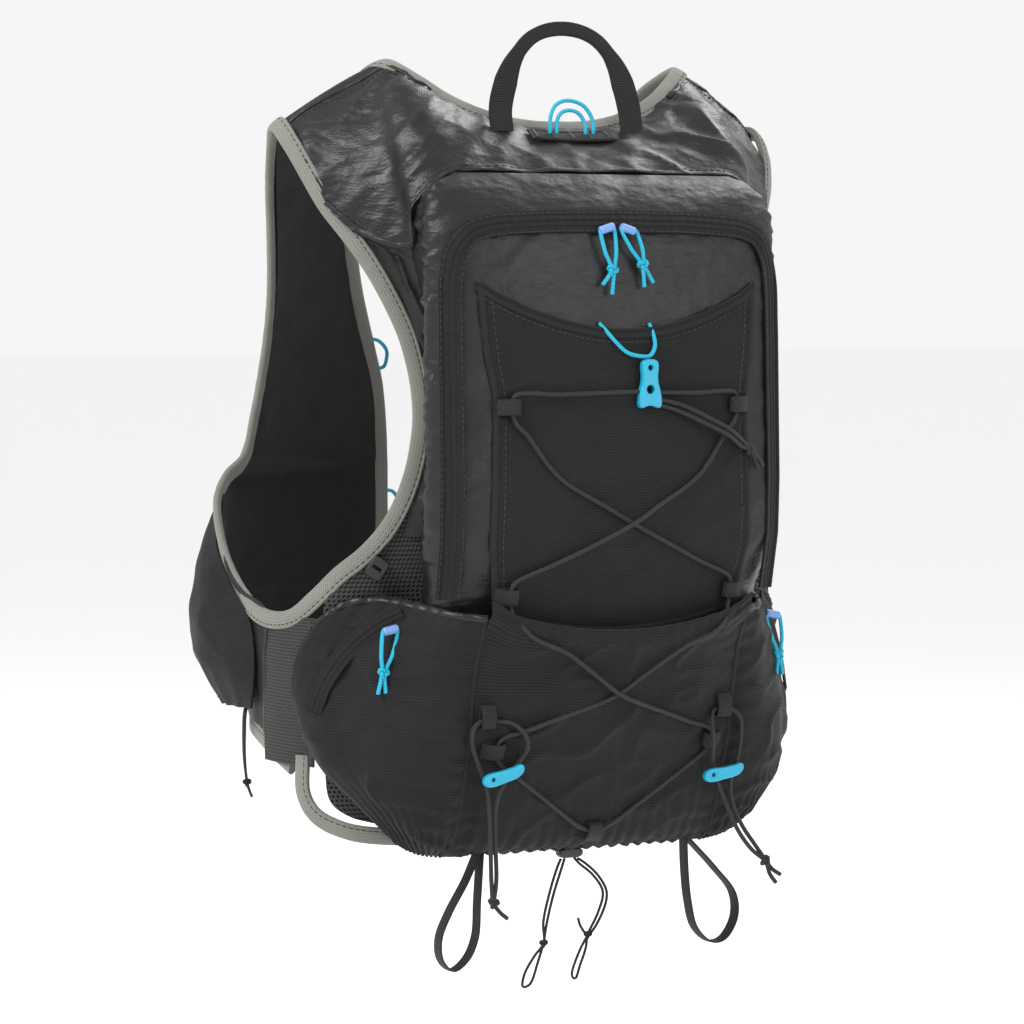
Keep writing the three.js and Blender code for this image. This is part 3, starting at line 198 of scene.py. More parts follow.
def cloth_material(
    name, dark, light, kind, period, depth, rough=0.8, sheen=0.3, spread=0.25, groove_shade=0.6,
    sheen_tint=(1, 1, 1, 1), specular=0.5, fuzz=0.15, crease_depth=0.5,
):
    """Cloth with a pattern of the period and depth in millimetres. Its colour runs from dark to light with
    random tone, painted shade in the thread grooves and painted light on their crowns.
    """
    tree = Tree(name)
    height = pattern_height(tree, kind, period)
    fine = tree.noise(900, 2, 0.6)
    # Painted shade and light: the pattern's height darkens the colour in the thread grooves and lightens it
    # on the crowns, over random tone
    share = tree.math("MULTIPLY_ADD", tree.noise(22, 3), spread, tree.math("MULTIPLY", height, groove_shade))
    share = tree.math("MULTIPLY_ADD", fine, fuzz, share)
    set_inputs(tree.shader, Sheen_Weight=sheen, Sheen_Roughness=0.45, Sheen_Tint=sheen_tint,
               Specular_IOR_Level=specular)
    crease = tree.bump(tree.noise(48, 3, 0.45, stretch=(1, 1, 1.7)), crease_depth)
    threads = tree.bump(tree.math("MULTIPLY_ADD", fine, 0.35, height), depth, below=crease)
    worn = tree.span(tree.noise(60, 4, 0.6), rough - 0.12, rough + 0.1)
    return tree.finish(tree.mix(share, (*dark, 1), (*light, 1)), worn, threads)


def plastic_material(name, colour, rough):
    tree = Tree(name)
    worn = tree.noise(140, 4, 0.6)
    deep = tuple(part * 0.72 for part in colour)
    set_inputs(tree.shader, Subsurface_Weight=0.04, Subsurface_Radius=(0.002, 0.002, 0.002))
    grain = tree.bump(tree.noise(1300, 3), 0.12, 0.35)
    return tree.finish(
        tree.mix(worn, (*deep, 1), (*colour, 1)), tree.span(worn, rough - 0.08, rough + 0.16), grain)


SHELL = cloth_material("shell_weave", (0.004, 0.004, 0.0045), (0.013, 0.013, 0.014), "plain", 0.9, 0.06,
                       rough=0.4, sheen=0.02, groove_shade=0.35, spread=0.4, specular=0.33,
                       crease_depth=2.6)
FRONT = cloth_material("front_weave", (0.004, 0.004, 0.0045), (0.015, 0.015, 0.016), "plain", 0.8, 0.05,
                       rough=0.58, sheen=0.04, groove_shade=0.35, spread=0.4, specular=0.25,
                       crease_depth=1.6)
STRETCH = cloth_material("stretch_rib", (0.002, 0.002, 0.0025), (0.016, 0.016, 0.017), "rib", 1.5, 0.2,
                         rough=0.8, sheen=0.06, groove_shade=0.75, spread=0.2, specular=0.2,
                         crease_depth=1.8)
GREY = cloth_material("binding_knit", (0.07, 0.07, 0.062), (0.25, 0.25, 0.225), "knit", 1.5, 0.12,
                      rough=0.95, sheen=0.25, groove_shade=0.6, spread=0.3, specular=0.1,
                      sheen_tint=(0.8, 0.8, 0.74, 1), fuzz=0.35)
SPACER = cloth_material("spacer_net", (0.001, 0.001, 0.001), (0.055, 0.055, 0.057), "holes", 2.6, 0.8,
                        rough=0.85, sheen=0.05, groove_shade=0.85, spread=0.1, specular=0.15)
NET = cloth_material("side_net", (0.002, 0.002, 0.002), (0.045, 0.045, 0.044), "holes", 1.9, 0.35,
                     rough=0.85, sheen=0.05, groove_shade=0.8, spread=0.12, specular=0.15)
TAPE = cloth_material("zip_tape_knit", (0.0015, 0.0015, 0.0015), (0.016, 0.016, 0.0165), "herring", 1.4,
                      0.2, rough=0.75, sheen=0.04, groove_shade=0.9, spread=0.1, specular=0.2)
WEB = cloth_material("webbing_herring", (0.002, 0.002, 0.002), (0.024, 0.024, 0.025), "herring", 1.5, 0.25,
                     rough=0.68, sheen=0.04, groove_shade=0.9, spread=0.12, specular=0.22)
LACE = cloth_material("lace_braid", (0.001, 0.001, 0.001), (0.022, 0.022, 0.023), "braid", 1.6, 0.25,
                      rough=0.62, sheen=0.04, groove_shade=0.9, spread=0.1, specular=0.3)
THIN = cloth_material("thin_braid", (0.001, 0.001, 0.001), (0.022, 0.022, 0.023), "braid", 1.1, 0.15,
                      rough=0.66, sheen=0.04, groove_shade=0.9, spread=0.1, specular=0.25)
CYAN = cloth_material("blue_braid", (0.003, 0.12, 0.22), (0.018, 0.46, 0.64), "braid", 1.5, 0.22,
                      rough=0.6, sheen=0.08, groove_shade=0.8, spread=0.15, sheen_tint=(0.6, 0.9, 1, 1),
                      specular=0.3)
SLEEVE = plastic_material("sleeve_blue", (0.16, 0.32, 0.66), 0.32)
HOOK = plastic_material("hook_blue", (0.008, 0.36, 0.55), 0.3)
DARK = plastic_material("dark_plastic", (0.012, 0.012, 0.0125), 0.38)
THREAD = cloth_material("thread", (0.012, 0.012, 0.012), (0.05, 0.05, 0.052), "twill", 0.6, 0.06,
                        rough=0.55, sheen=0.04, specular=0.3)
# Cords: thickness, material and slot
LACE_CORD, BLUE_CORD, THIN_CORD = (2.5, LACE, "lace"), (2.3, CYAN, "blue_cord"), (1.6, THIN, "thin_cord")


# Mesh helpers
def piece(name, verts, faces, uvs, material, nodes=(), mirror=False, sharp=50):
    """A mesh from points in millimetres, which rides on the object's one body.

    uvs holds one place for each point, or a list of places for each face.
    """
    if mirror:
        verts = [flip(v) for v in verts]
        faces = [face[::-1] for face in faces]
        if isinstance(uvs[0], list):
            uvs = [face[::-1] for face in uvs]
    mesh = bpy.data.meshes.new(name)
    mesh.from_pydata([tuple(v * MM) for v in verts], [], faces)
    layer = mesh.uv_layers.new(name="cloth")
    if isinstance(uvs[0], list):
        flat = [place for face in uvs for place in face]
        for loop in mesh.loops:
            layer.data[loop.index].uv = flat[loop.index]
    else:
        for loop in mesh.loops:
            layer.data[loop.index].uv = uvs[loop.vertex_index]
    mesh.polygons.foreach_set("use_smooth", [True] * len(mesh.polygons))
    mesh.materials.append(material)
    mesh.set_sharp_from_angle(angle=math.radians(sharp))
    obj = add_object(name, mesh)
    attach(obj, "root")
    if nodes:
        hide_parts(*nodes)
    return obj


def run_of(points):
    """How far along its list each point lies."""
    run = [0.0]
    for a, b in zip(points, points[1:]):
        run.append(run[-1] + (b - a).length)
    return run


class Line:
    """A smooth curve through points, measured along its length."""

    def __init__(self, points, closed=False):
        self.points = [Vector(p) for p in points]
        self.closed = closed
        steps = SPOTS_PER_POINT * len(self.points)
        self.spots = [self.at(i / steps) for i in range(steps + 1)]
        self.run = run_of(self.spots)
        self.length = self.run[-1]

    def at(self, share):
        count = len(self.points)
        spans = count if self.closed else count - 1
        place = share * spans
        index = min(int(place), spans - 1)
        weight = place - index
        if self.closed:
            p0, p1, p2, p3 = (self.points[(index + k) % count] for k in (-1, 0, 1, 2))
        else:
            p1, p2 = self.points[index], self.points[index + 1]
            p0 = self.points[index - 1] if index > 0 else p1 * 2 - p2
            p3 = self.points[index + 2] if index + 2 < count else p2 * 2 - p1
        d0, d1, d2 = (
            max((b - a).length, 1e-6) ** 0.5 for a, b in ((p0, p1), (p1, p2), (p2, p3)))
        t1 = ((p1 - p0) / d0 - (p2 - p0) / (d0 + d1) + (p2 - p1) / d1) * d1
        t2 = ((p2 - p1) / d1 - (p3 - p1) / (d1 + d2) + (p3 - p2) / d2) * d1
        c2 = -3 * p1 + 3 * p2 - 2 * t1 - t2
        c3 = 2 * p1 - 2 * p2 + t1 + t2
        return p1 + t1 * weight + c2 * weight ** 2 + c3 * weight ** 3

    def point(self, share):
        goal = min(max(share, 0), 1) * self.length
        low, high = 0, len(self.run) - 1
        while high - low > 1:
            middle = (low + high) // 2
            if self.run[middle] <= goal:
                low = middle
            else:
                high = middle
        part = (goal - self.run[low]) / max(self.run[high] - self.run[low], 1e-9)
        return self.spots[low].lerp(self.spots[high], part)

    def tangent(self, share):
        if self.closed:
            return (self.point((share + 0.002) % 1) - self.point((share - 0.002) % 1)).normalized()
        return (self.point(share + 0.002) - self.point(share - 0.002)).normalized()


def arch(share):
    """0 at both ends and 1 in the middle."""
    return math.sin(math.pi * share)


def flip(point):
    return Vector((-point[0], point[1], point[2]))


def both_sides(points):
    """The points, and then their mirror images back to the other end."""
    return points + [flip(p) for p in points[::-1]]


def body(rows):
    return [Vector((x * CHEST_HALF, y * CHEST_DEPTH, z * WAIST_DROP)) for x, y, z in rows]


def look_up(table, value, column, key="z"):
    if value >= table[0][key]:
        return table[0][column]
    if value <= table[-1][key]:
        return table[-1][column]
    for above, below in zip(table, table[1:]):
        if below[key] <= value:
            share = (above[key] - value) / (above[key] - below[key])
            return above[column] + (below[column] - above[column]) * share


def rows_of(names, *rows):
    return [dict(zip(names.split(), row)) for row in rows]


def outward(point):
    heart = Vector((point.x * 0.5, HEART_Y, min(point.z, -0.25 * WAIST_DROP)))
    return (point - heart).normalized()


def level(point):
    return Vector((point.x, point.y - HEART_Y, 0)).normalized()


def refine(grid, rows, cols):
    """The same surface with more points, smooth both ways."""
    across = [Line(row) for row in grid]
    table = [[line.at(j / (cols - 1)) for line in across] for j in range(cols)]
    columns = [Line(column) for column in table]
    return [[column.at(i / (rows - 1)) for column in columns] for i in range(rows)]


def normals(grid, sense=1):
    rows, cols = len(grid), len(grid[0])
    result = []
    for i in range(rows):
        line = []
        for j in range(cols):
            a = grid[i][min(j + 1, cols - 1)] - grid[i][max(j - 1, 0)]
            b = grid[min(i + 1, rows - 1)][j] - grid[max(i - 1, 0)][j]
            line.append(a.cross(b).normalized() * sense)
        result.append(line)
    return result


def moved(grid, shift, sense=1):
    """Each point goes out along the surface's normal by shift(u, v, point)."""
    away = normals(grid, sense)
    rows, cols = len(grid), len(grid[0])
    return [[
        grid[i][j] + away[i][j] * shift(j / (cols - 1), i / (rows - 1), grid[i][j])
        for j in range(cols)] for i in range(rows)]


def cloth(name, grid, thickness, material, nodes=(), mirror=False, sense=1):
    """A sheet with a rounded rim. Its UV map holds metres along the cloth."""
    rows, cols = len(grid), len(grid[0])
    away = normals(grid, sense)
    verts, uvs, faces = [], [], []
    down, along = run_of([row[cols // 2] for row in grid]), run_of(grid[rows // 2])
    for side in (0.5, -0.5):
        for i in range(rows):
            for j in range(cols):
                verts.append(grid[i][j] + away[i][j] * thickness * side)
                uvs.append((along[j] * MM, down[i] * MM))
    far = rows * cols
    for i in range(rows - 1):
        for j in range(cols - 1):
            a = i * cols + j
            faces.append((a, a + 1, a + cols + 1, a + cols))
            faces.append((far + a + 1, far + a, far + a + cols, far + a + cols + 1))
    rim = (
        [j for j in range(cols)]
        + [i * cols + cols - 1 for i in range(1, rows)]
        + [(rows - 1) * cols + j for j in range(cols - 2, -1, -1)]
        + [i * cols for i in range(rows - 2, 0, -1)])
    for a, b in zip(rim, rim[1:] + rim[:1]):
        faces.append((b, a, far + a, far + b))
    if sense < 0:
        faces = [face[::-1] for face in faces]
    return piece(name, verts, faces, uvs, material, nodes, mirror)


def tube(name, line, profile, frame_at, steps, material, nodes=(), mirror=False, around=None):
    """A closed section swept along a line. profile(share) lists (across, out) pairs.

    around is the section's length in millimetres, or None for a braid, which counts turns.
    """
    closed = line.closed
    count = steps if closed else steps + 1
    verts, uvs, faces = [], [], []
    sides = len(profile(0))
    for i in range(count):
        share = i / steps
        centre = line.point(share)
        across, out = frame_at(share, centre)
        for a, o in profile(share):
            verts.append(centre + across * a + out * o)
    wrap = 1 if around is None else around * MM
    for i in range(steps):
        here, after = i * sides, ((i + 1) % count) * sides
        low, high = (line.length * MM * (i + k) / steps for k in (0, 1))
        for k in range(sides):
            n = (k + 1) % sides
            faces.append((here + k, after + k, after + n, here + n))
            near, far = wrap * k / sides, wrap * (k + 1) / sides
            uvs.append([(low, near), (high, near), (high, far), (low, far)])
    if not closed:
        faces.append(tuple(range(sides)))
        faces.append(tuple(range(steps * sides, (steps + 1) * sides))[::-1])
        uvs.append([(0, 0)] * sides)
        uvs.append([(line.length * MM, 0)] * sides)
    return piece(name, verts, faces, uvs, material, nodes, mirror)


def carried(line, steps):
    """Frames that turn as little as they can along a line."""
    tangents = [line.tangent(i / steps) for i in range(steps + 1)]
    start = Vector((0.3, 0.2, 1)) if abs(tangents[0].z) < 0.8 else Vector((1, 0.2, 0))
    side = (start - tangents[0] * start.dot(tangents[0])).normalized()
    frames = []
    for tangent in tangents:
        side = (side - tangent * side.dot(tangent)).normalized()
        frames.append((side, tangent.cross(side)))
    return lambda share, _centre: frames[min(round(share * steps), steps)]


def circle(radius, sides=10):
    return [
        (radius * math.cos(2 * math.pi * k / sides), radius * math.sin(2 * math.pi * k / sides))
        for k in range(sides)]


def rope(name, route, diameter, material, slot, nodes=(), mirror=False, closed=False):
    line = Line(route, closed)
    steps = max(8, int(line.length / (0.7 * diameter)))
    section = circle(diameter / 2)
    obj = tube(name, line, lambda _share: section, carried(line, steps), steps, material, nodes,
               mirror)
    return line, obj


def knot(name, centre, size, diameter, material, slot, mirror=False, turn=0.0):
    """An overhand knot drawn tight, for the cord of the node that its name begins with."""
    route = []
    for k in range(KNOT_STEPS):
        t = 2 * math.pi * k / KNOT_STEPS
        x, y, z = math.sin(t) + 2 * math.sin(2 * t), math.cos(t) - 2 * math.cos(2 * t), -math.sin(3 * t)
        spot = Vector((x, z * 1.3, y)) * ((size - diameter / 2) / 3)
        route.append(Vector(centre) + Matrix.Rotation(turn, 3, "Y") @ spot)
    nodes = (name.removesuffix("_knot"),)
    return rope(name, route, diameter * 0.94, material, slot, nodes, mirror, closed=True)[1]


def free_cord(name, route, diameter, material, slot, end, mirror=False, extra=()):
    """A cord that hangs from the object.

    Its name is its node's, with _a or _b for the strand.
    """
    line, obj = rope(name, route, diameter, material, slot, (name[:-2],), mirror)
    path = [line.point(i / PATH_STEPS) for i in range(PATH_STEPS + 1)]
    path = [tuple((flip(p) if mirror else p) * MM) for p in path]
    return obj


# Hanging cords. Routes are in millimetres, as in the solids.
TAIL_KNOT = (80.5, -80.6, -199.6)
tail_ball = knot("lace_tail_knot", TAIL_KNOT, 4.0, *LACE_CORD, turn=0.7)
free_cord("lace_tail_a", [
    (18.9, -84.9, -170.6), (33, -85.6, -174), (50, -87, -181.5), (64, -87.2, -188.5),
    (74, -83.6, -195), TAIL_KNOT, (84, -79.5, -205), (86.5, -78.6, -210.5),
], *LACE_CORD, "bare", extra=[tail_ball])
free_cord("lace_tail_b", [
    (18.9, -84.9, -173.6), (32, -85.6, -177.6), (49, -87, -185), (63, -87.2, -191.5),
    (73, -83.6, -197.6), TAIL_KNOT, (87, -78.6, -205), (91, -77, -209.5),
], *LACE_CORD, "bare")


# Moulded hook and clips: an outline with holes, extruded and rounded
def rounded(points, turns=2):
    for _ in range(turns):
        fresh = []
        for a, b in zip(points, points[1:] + points[:1]):
            fresh.append((a[0] * 0.75 + b[0] * 0.25, a[1] * 0.75 + b[1] * 0.25))
            fresh.append((a[0] * 0.25 + b[0] * 0.75, a[1] * 0.25 + b[1] * 0.75))
        points = fresh
    return points


def plate(name, outline, holes, thickness, place, material, node, tilt=0.0, yaw=0.0, bevel=0.9,
          mirror=False):
    """A moulded plate whose back face is at place's y, from an outline in X and Z."""
    data = bpy.data.curves.new(name + "_outline", "CURVE")
    data.dimensions = "2D"
    data.fill_mode = "BOTH"
    for loop, grow in [(outline, -bevel)] + [(hole, bevel) for hole in holes]:
        middle = Vector((sum(x for x, _ in loop), sum(z for _, z in loop))) / len(loop)
        spline = data.splines.new("POLY")
        spline.points.add(len(loop) - 1)
        for point, (x, z) in zip(spline.points, loop):
            away = Vector((x, z)) - middle
            away = away.normalized() * (away.length + grow * 0.8)
            point.co = (middle.x + away.x, middle.y + away.y, 0, 1)
        spline.use_cyclic_u = True
    data.extrude = thickness / 2 - bevel
    data.bevel_depth = bevel
    data.bevel_resolution = 3
    shape = add_object(name + "_outline", data)
    bpy.context.view_layer.update()
    source = shape.evaluated_get(bpy.context.evaluated_depsgraph_get()).to_mesh()
    turn = Matrix.Rotation(yaw, 3, "Z") @ Matrix.Rotation(tilt, 3, "Y")
    verts = []
    for vertex in source.vertices:
        x, z, y = vertex.co
        verts.append(turn @ Vector((x, -thickness / 2 - y, z)) + Vector(place))
    faces = [tuple(poly.vertices) for poly in source.polygons]
    uvs = [(v.co.x * MM, v.co.y * MM) for v in source.vertices]
    bpy.data.objects.remove(shape)
    bpy.data.curves.remove(data)
    return piece(name, verts, faces, uvs, material, (node,), mirror, sharp=35)


def scaled(points, width, height):
    return [(x * width, z * height) for x, z in points]


def ring(x, z, radius, count=20):
    return [
        (x + radius * math.cos(2 * math.pi * k / count), z + radius * math.sin(2 * math.pi * k / count))
        for k in range(count)]


HOOK_OUTLINE = [
    (-0.24, 0), (0.24, 0), (0.36, -0.08), (0.3, -0.36), (0.5, -0.74), (0.5, -1),
    (0.16, -0.93), (-0.16, -0.93), (-0.5, -1), (-0.5, -0.74), (-0.3, -0.36), (-0.36, -0.08)]
plate("hook_body", rounded(scaled(HOOK_OUTLINE, 13.6, 27.6)),
      [ring(0, -4.6, 1.7), ring(0, -16.7, 2.6)], 4.2, (12, -83.1, -148.2), HOOK, "hook")
CLIP_OUTLINE = [
    (-0.5, -0.2), (-0.36, -0.5), (0.3, -0.36), (0.5, 0.05), (0.5, 0.5), (0.34, 0.36),
    (-0.34, 0.42), (-0.48, 0.2)]
clip_shape = rounded(scaled(CLIP_OUTLINE, 26, 7.8))
clip_left = plate("clip_left_body", clip_shape, [ring(-7, 0, 1.3)], 4, (-67, -58.6, -380),
                  HOOK, "clip_left", tilt=-0.2)
clip_right = plate("clip_right_body", clip_shape, [ring(-7, 0, 1.3)], 4, (77, -55.6, -386),
                   HOOK, "clip_right", tilt=-0.1)

LEFT_KNOT = (-68, -50.6, -452)
left_ball = knot("clip_cord_left_knot", LEFT_KNOT, 4.0, *LACE_CORD, turn=0.3)
free_cord("clip_cord_left_a", [
    (-76, -59, -348.9), (-80.6, -59, -348.9), (-84.6, -58.6, -352.5), (-84, -56, -362),
    (-79, -53.8, -374), (-73.5, -52.4, -386), (-70.5, -51, -405), (-69.5, -50.8, -440),
    LEFT_KNOT, (-64, -50.4, -457.5), (-59, -50, -461.5),
], *LACE_CORD, "bare", extra=[left_ball, clip_left])
free_cord("clip_cord_left_b", [
    (-76, -59, -348.9), (-71.4, -59, -348.9), (-62, -62, -350.6), (-55.5, -65, -357),
    (-52.6, -62.4, -364.6), (-53.8, -58, -370.4), (-57.5, -56.9, -375.4), (-62.5, -56.8, -382),
    (-66.6, -53.6, -392), (-67.4, -51.2, -405), (-66.4, -50.8, -440), LEFT_KNOT,
], *LACE_CORD, "knot")
RIGHT_KNOT = (111, -49, -440)
right_ball = knot("clip_cord_right_knot", RIGHT_KNOT, 4.0, *LACE_CORD, turn=-0.9)
free_cord("clip_cord_right_a", [
    (76, -59, -348.9), (70.4, -59, -348.9), (67, -61.4, -352), (66.6, -63.6, -361), (68.4, -61, -371),
    (72, -54.6, -381), (78, -51.8, -394), (84.5, -51, -408), (91.5, -50.6, -421),
    (101, -49.8, -432.5), RIGHT_KNOT, (115.5, -49, -445), (121, -49, -448.5),
], *LACE_CORD, "bare", extra=[right_ball, clip_right])
free_cord("clip_cord_right_b", [
    (76, -59, -348.9), (80.6, -59, -348.9), (87.5, -58.4, -354), (90, -55.6, -366),
    (88.4, -53.6, -380), (85, -52.4, -392), (87.6, -51, -405.6), (94.4, -50.6, -418.6),
    (103, -49.8, -429.6), RIGHT_KNOT, (114, -49, -448), (118, -49, -453),
], *LACE_CORD, "bare")

HEM_LEFT_KNOT = (-18, -17, -483)
hem_left_ball = knot("hem_cord_left_knot", HEM_LEFT_KNOT, 3.0, *THIN_CORD)
free_cord("hem_cord_left_a", [
    (-7, -17.5, -434.9), (-9.5, -17.5, -440), (-14.4, -17, -455), (-18.2, -17, -471), HEM_LEFT_KNOT,
    (-24, -17, -490), (-30.5, -17, -500), (-31.5, -17, -507), (-27, -17, -506), (-21.5, -17, -493),
    HEM_LEFT_KNOT,
], *THIN_CORD, "knot", extra=[hem_left_ball])
free_cord("hem_cord_left_b", [
    (-4.6, -17.5, -434.9), (-6.8, -17.5, -441), (-11.8, -17, -456), (-15.8, -17, -471), HEM_LEFT_KNOT,
], *THIN_CORD, "knot")
HEM_RIGHT_KNOT = (11, -17, -480)
hem_right_ball = knot("hem_cord_right_knot", HEM_RIGHT_KNOT, 3.0, *THIN_CORD)
free_cord("hem_cord_right_a", [
    (1.6, -17.5, -435), (5, -17.5, -438.4), (14.5, -17, -446), (20.8, -17, -456), (17.5, -17, -468),
    HEM_RIGHT_KNOT, (9.5, -17, -488), (6, -17, -497), (2.6, -17, -505), (0.5, -17, -503),
    (5, -17, -490), HEM_RIGHT_KNOT,
], *THIN_CORD, "knot", extra=[hem_right_ball])
free_cord("hem_cord_right_b", [
    (4, -17.5, -435.4), (8.5, -17.5, -438.2), (18, -17, -446.6), (23.4, -17, -456.6),
    (20.2, -17, -468.6), HEM_RIGHT_KNOT, (6, -17, -474.5), (4.5, -17, -470),
], *THIN_CORD, "bare")
POCKET_KNOT = (-155.2, 90, -394)
for side, mirror in SIDES:
    node = f"pocket_cord_{side}"
    ball = knot(f"{node}_knot", POCKET_KNOT, 3.0, *THIN_CORD, mirror)
    free_cord(f"{node}_a", [
        (-154, 90, -347.6), (-155.9, 90, -353), (-156.6, 90, -366), (-156.6, 90, -380), POCKET_KNOT,
        (-153.6, 90, -399), (-152.1, 90, -402.5),
    ], *THIN_CORD, "bare", mirror, extra=[ball])
    free_cord(f"{node}_b", [
        (-153.6, 92.6, -347.6), (-155.5, 92.6, -353), (-156.2, 92.6, -366), (-156, 92, -381), POCKET_KNOT,
    ], *THIN_CORD, "knot", mirror)


# Tables of the solids: shares of the body's or the pack's sizes
ARMHOLE_ROWS = [
    (-1.067, 0.21, -0.05), (-1.057, 0.15, -0.075), (-1.02, 0.09, -0.12), (-0.967, 0.05, -0.165),
    (-0.873, 0, -0.22), (-0.793, -0.035, -0.275), (-0.707, -0.065, -0.355), (-0.67, -0.077, -0.45),
    (-0.7, -0.06, -0.535), (-0.767, -0.04, -0.595), (-0.847, -0.01, -0.635), (-0.935, 0.025, -0.665),
    (-0.993, 0.07, -0.695), (-1.025, 0.17, -0.725), (-1.04, 0.32, -0.728), (-1.047, 0.47, -0.695),
    (-1.053, 0.58, -0.643), (-1.04, 0.65, -0.578), (-0.973, 0.69, -0.54), (-0.893, 0.705, -0.515),
    (-0.85, 0.705, -0.455), (-0.807, 0.685, -0.345), (-0.82, 0.63, -0.27), (-0.867, 0.555, -0.198),
    (-0.933, 0.46, -0.125), (-1.0, 0.345, -0.07), (-1.045, 0.27, -0.052),
]
FRONT_EDGE_ROWS = [
    (0, 0, -0.043), (-0.16, 0.005, -0.04), (-0.3, 0.016, -0.028), (-0.44, 0.045, -0.006),
    (-0.55, 0.08, 0.022), (-0.64, 0.14, 0.045), (-0.65, 0.22, 0.04), (-0.62, 0.31, 0.018),
    (-0.573, 0.42, -0.03), (-0.507, 0.57, -0.105), (-0.427, 0.7, -0.19), (-0.333, 0.81, -0.27),
    (-0.227, 0.9, -0.35), (-0.153, 0.945, -0.425), (-0.127, 0.962, -0.5), (-0.12, 0.965, -0.625),
    (-0.12, 0.95, -0.775), (-0.133, 0.905, -0.9),
]
FRONT_HEM_ROWS = [
    (-0.2, 0.9, -0.91), (-0.5, 0.84, -0.91), (-0.78, 0.72, -0.905), (-0.94, 0.56, -0.905),
    (-1.0, 0.4, -0.915), (-1.015, 0.26, -0.935), (-1.0, 0.19, -0.95),
]
BACK_HEM_ROWS = [
    (-1.0, 0.125, -0.93), (-1.0, 0.12, -0.985), (-0.965, 0.095, -1.015), (-0.88, 0.05, -1.035),
    (-0.75, 0.02, -1.045), (-0.4, -0.02, -1.05),
]
BACK_DEPTH = rows_of(
    "z d",
    (0.04, 0), (-0.12, 0.06), (-0.25, 0.12), (-0.38, 0.14), (-0.5, 0.14), (-0.63, 0.12), (-0.75, 0.09),
    (-0.88, 0.06), (-1.05, 0.035))
BACK_PANEL_ROWS = rows_of(
    "z half",
    (-0.1, 0.985), (-0.165, 0.935), (-0.22, 0.845), (-0.275, 0.765), (-0.355, 0.68), (-0.45, 0.64),
    (-0.535, 0.67), (-0.595, 0.735), (-0.635, 0.815), (-0.67, 0.905), (-0.705, 0.985), (-0.745, 0.995),
    (-0.85, 0.985), (-0.95, 0.966), (-0.995, 0.945), (-1.015, 0.885), (-1.027, 0.79), (-1.034, 0.62))
YOKE_COLUMNS = rows_of(
    "top low puff",
    ((-1.05, 0.22, -0.052), (-1.005, 0.08, -0.13), 0.01),
    ((-0.95, 0.205, -0.02), (-0.93, 0.015, -0.165), 0.035),
    ((-0.85, 0.19, 0.005), (-0.83, -0.06, -0.205), 0.05),
    ((-0.74, 0.165, 0.028), (-0.72, -0.15, -0.215), 0.055),
    ((-0.64, 0.14, 0.043), (-0.735, -0.175, -0.17), 0.055),
    ((-0.55, 0.08, 0.022), (-0.67, -0.195, -0.13), 0.05),
    ((-0.44, 0.045, -0.006), (-0.58, -0.205, -0.113), 0.03),
    ((-0.3, 0.016, -0.028), (-0.4, -0.21, -0.11), 0.018),
    ((-0.16, 0.005, -0.04), (-0.2, -0.21, -0.11), 0.014), ((0, 0, -0.043), (0, -0.21, -0.11), 0.012))
STRAP_ROWS = rows_of(
    "arm edge puff",
    ((-1.055, 0.235, -0.05), (-0.655, 0.165, 0.045), 0.012),
    ((-1.0, 0.345, -0.07), (-0.6, 0.36, -0.003), 0.02),
    ((-0.933, 0.46, -0.125), (-0.54, 0.5, -0.07), 0.02),
    ((-0.867, 0.555, -0.198), (-0.46, 0.65, -0.155), 0.02),
    ((-0.82, 0.63, -0.27), (-0.355, 0.785, -0.25), 0.02),
    ((-0.807, 0.685, -0.345), (-0.24, 0.89, -0.34), 0.02),
    ((-0.83, 0.7, -0.41), (-0.16, 0.94, -0.415), 0.02),
    ((-0.85, 0.705, -0.455), (-0.13, 0.96, -0.48), 0.025),
    ((-0.893, 0.705, -0.515), (-0.12, 0.965, -0.53), 0.035))
WAIST_ROWS = rows_of(
    "z start girth",
    (-0.548, 0.4, 1), (-0.58, 0.31, 1), (-0.615, 0.265, 1), (-0.68, 0.15, 1), (-0.71, 0.08, 1),
    (-0.735, 0, 1), (-0.8, 0, 0.985), (-0.86, 0, 0.96), (-0.91, 0, 0.94))
SIDE_ROWS = [-0.735, -0.8, -0.87, -0.945]
POCKET_ROWS = rows_of(
    "z start end bulge",
    (-0.58, 0.36, 0.8, 0.15), (-0.61, 0.31, 0.82, 0.62), (-0.65, 0.26, 0.84, 0.95),
    (-0.7, 0.16, 0.84, 1), (-0.75, 0.06, 0.84, 1), (-0.8, 0.04, 0.83, 0.9), (-0.84, 0.05, 0.82, 0.62),
    (-0.875, 0.07, 0.8, 0.2))
SHELL_SECTION = rows_of(
    "across depth base",
    (1, 0, 1), (0.97, 0.3, 0.4), (1.0, 0.55, 0), (0.965, 0.72, 0), (0.87, 0.85, 0), (0.7, 0.93, 0),
    (0.36, 0.985, 0), (0, 1, 0))
SHELL_ROWS = rows_of(
    "z foot half seat crown",
    (-0.113, 0.8, 0.8, 0.5, 0.56), (-0.132, 0.92, 0.93, 0.47, 0.68), (-0.16, 0.985, 0.99, 0.42, 0.8),
    (-0.195, 0.97, 1, 0.33, 0.88), (-0.25, 0.92, 1, 0.28, 0.92), (-0.34, 0.84, 1, 0.27, 0.945),
    (-0.44, 0.82, 1, 0.27, 0.965), (-0.54, 0.83, 1, 0.25, 0.99), (-0.62, 0.86, 1, 0.21, 0.985),
    (-0.7, 0.89, 0.99, 0.17, 0.89), (-0.79, 0.9, 0.96, 0.13, 0.76), (-0.89, 0.88, 0.92, 0.1, 0.64),
    (-0.97, 0.84, 0.86, 0.08, 0.46), (-1.02, 0.78, 0.78, 0.07, 0.24))
ZIP_PATH = [
    (-0.93, -0.7), (-0.935, -0.6), (-0.935, -0.45), (-0.935, -0.32), (-0.93, -0.26), (-0.9, -0.222),
    (-0.84, -0.198), (-0.74, -0.187), (-0.5, -0.181), (-0.2, -0.179),
]
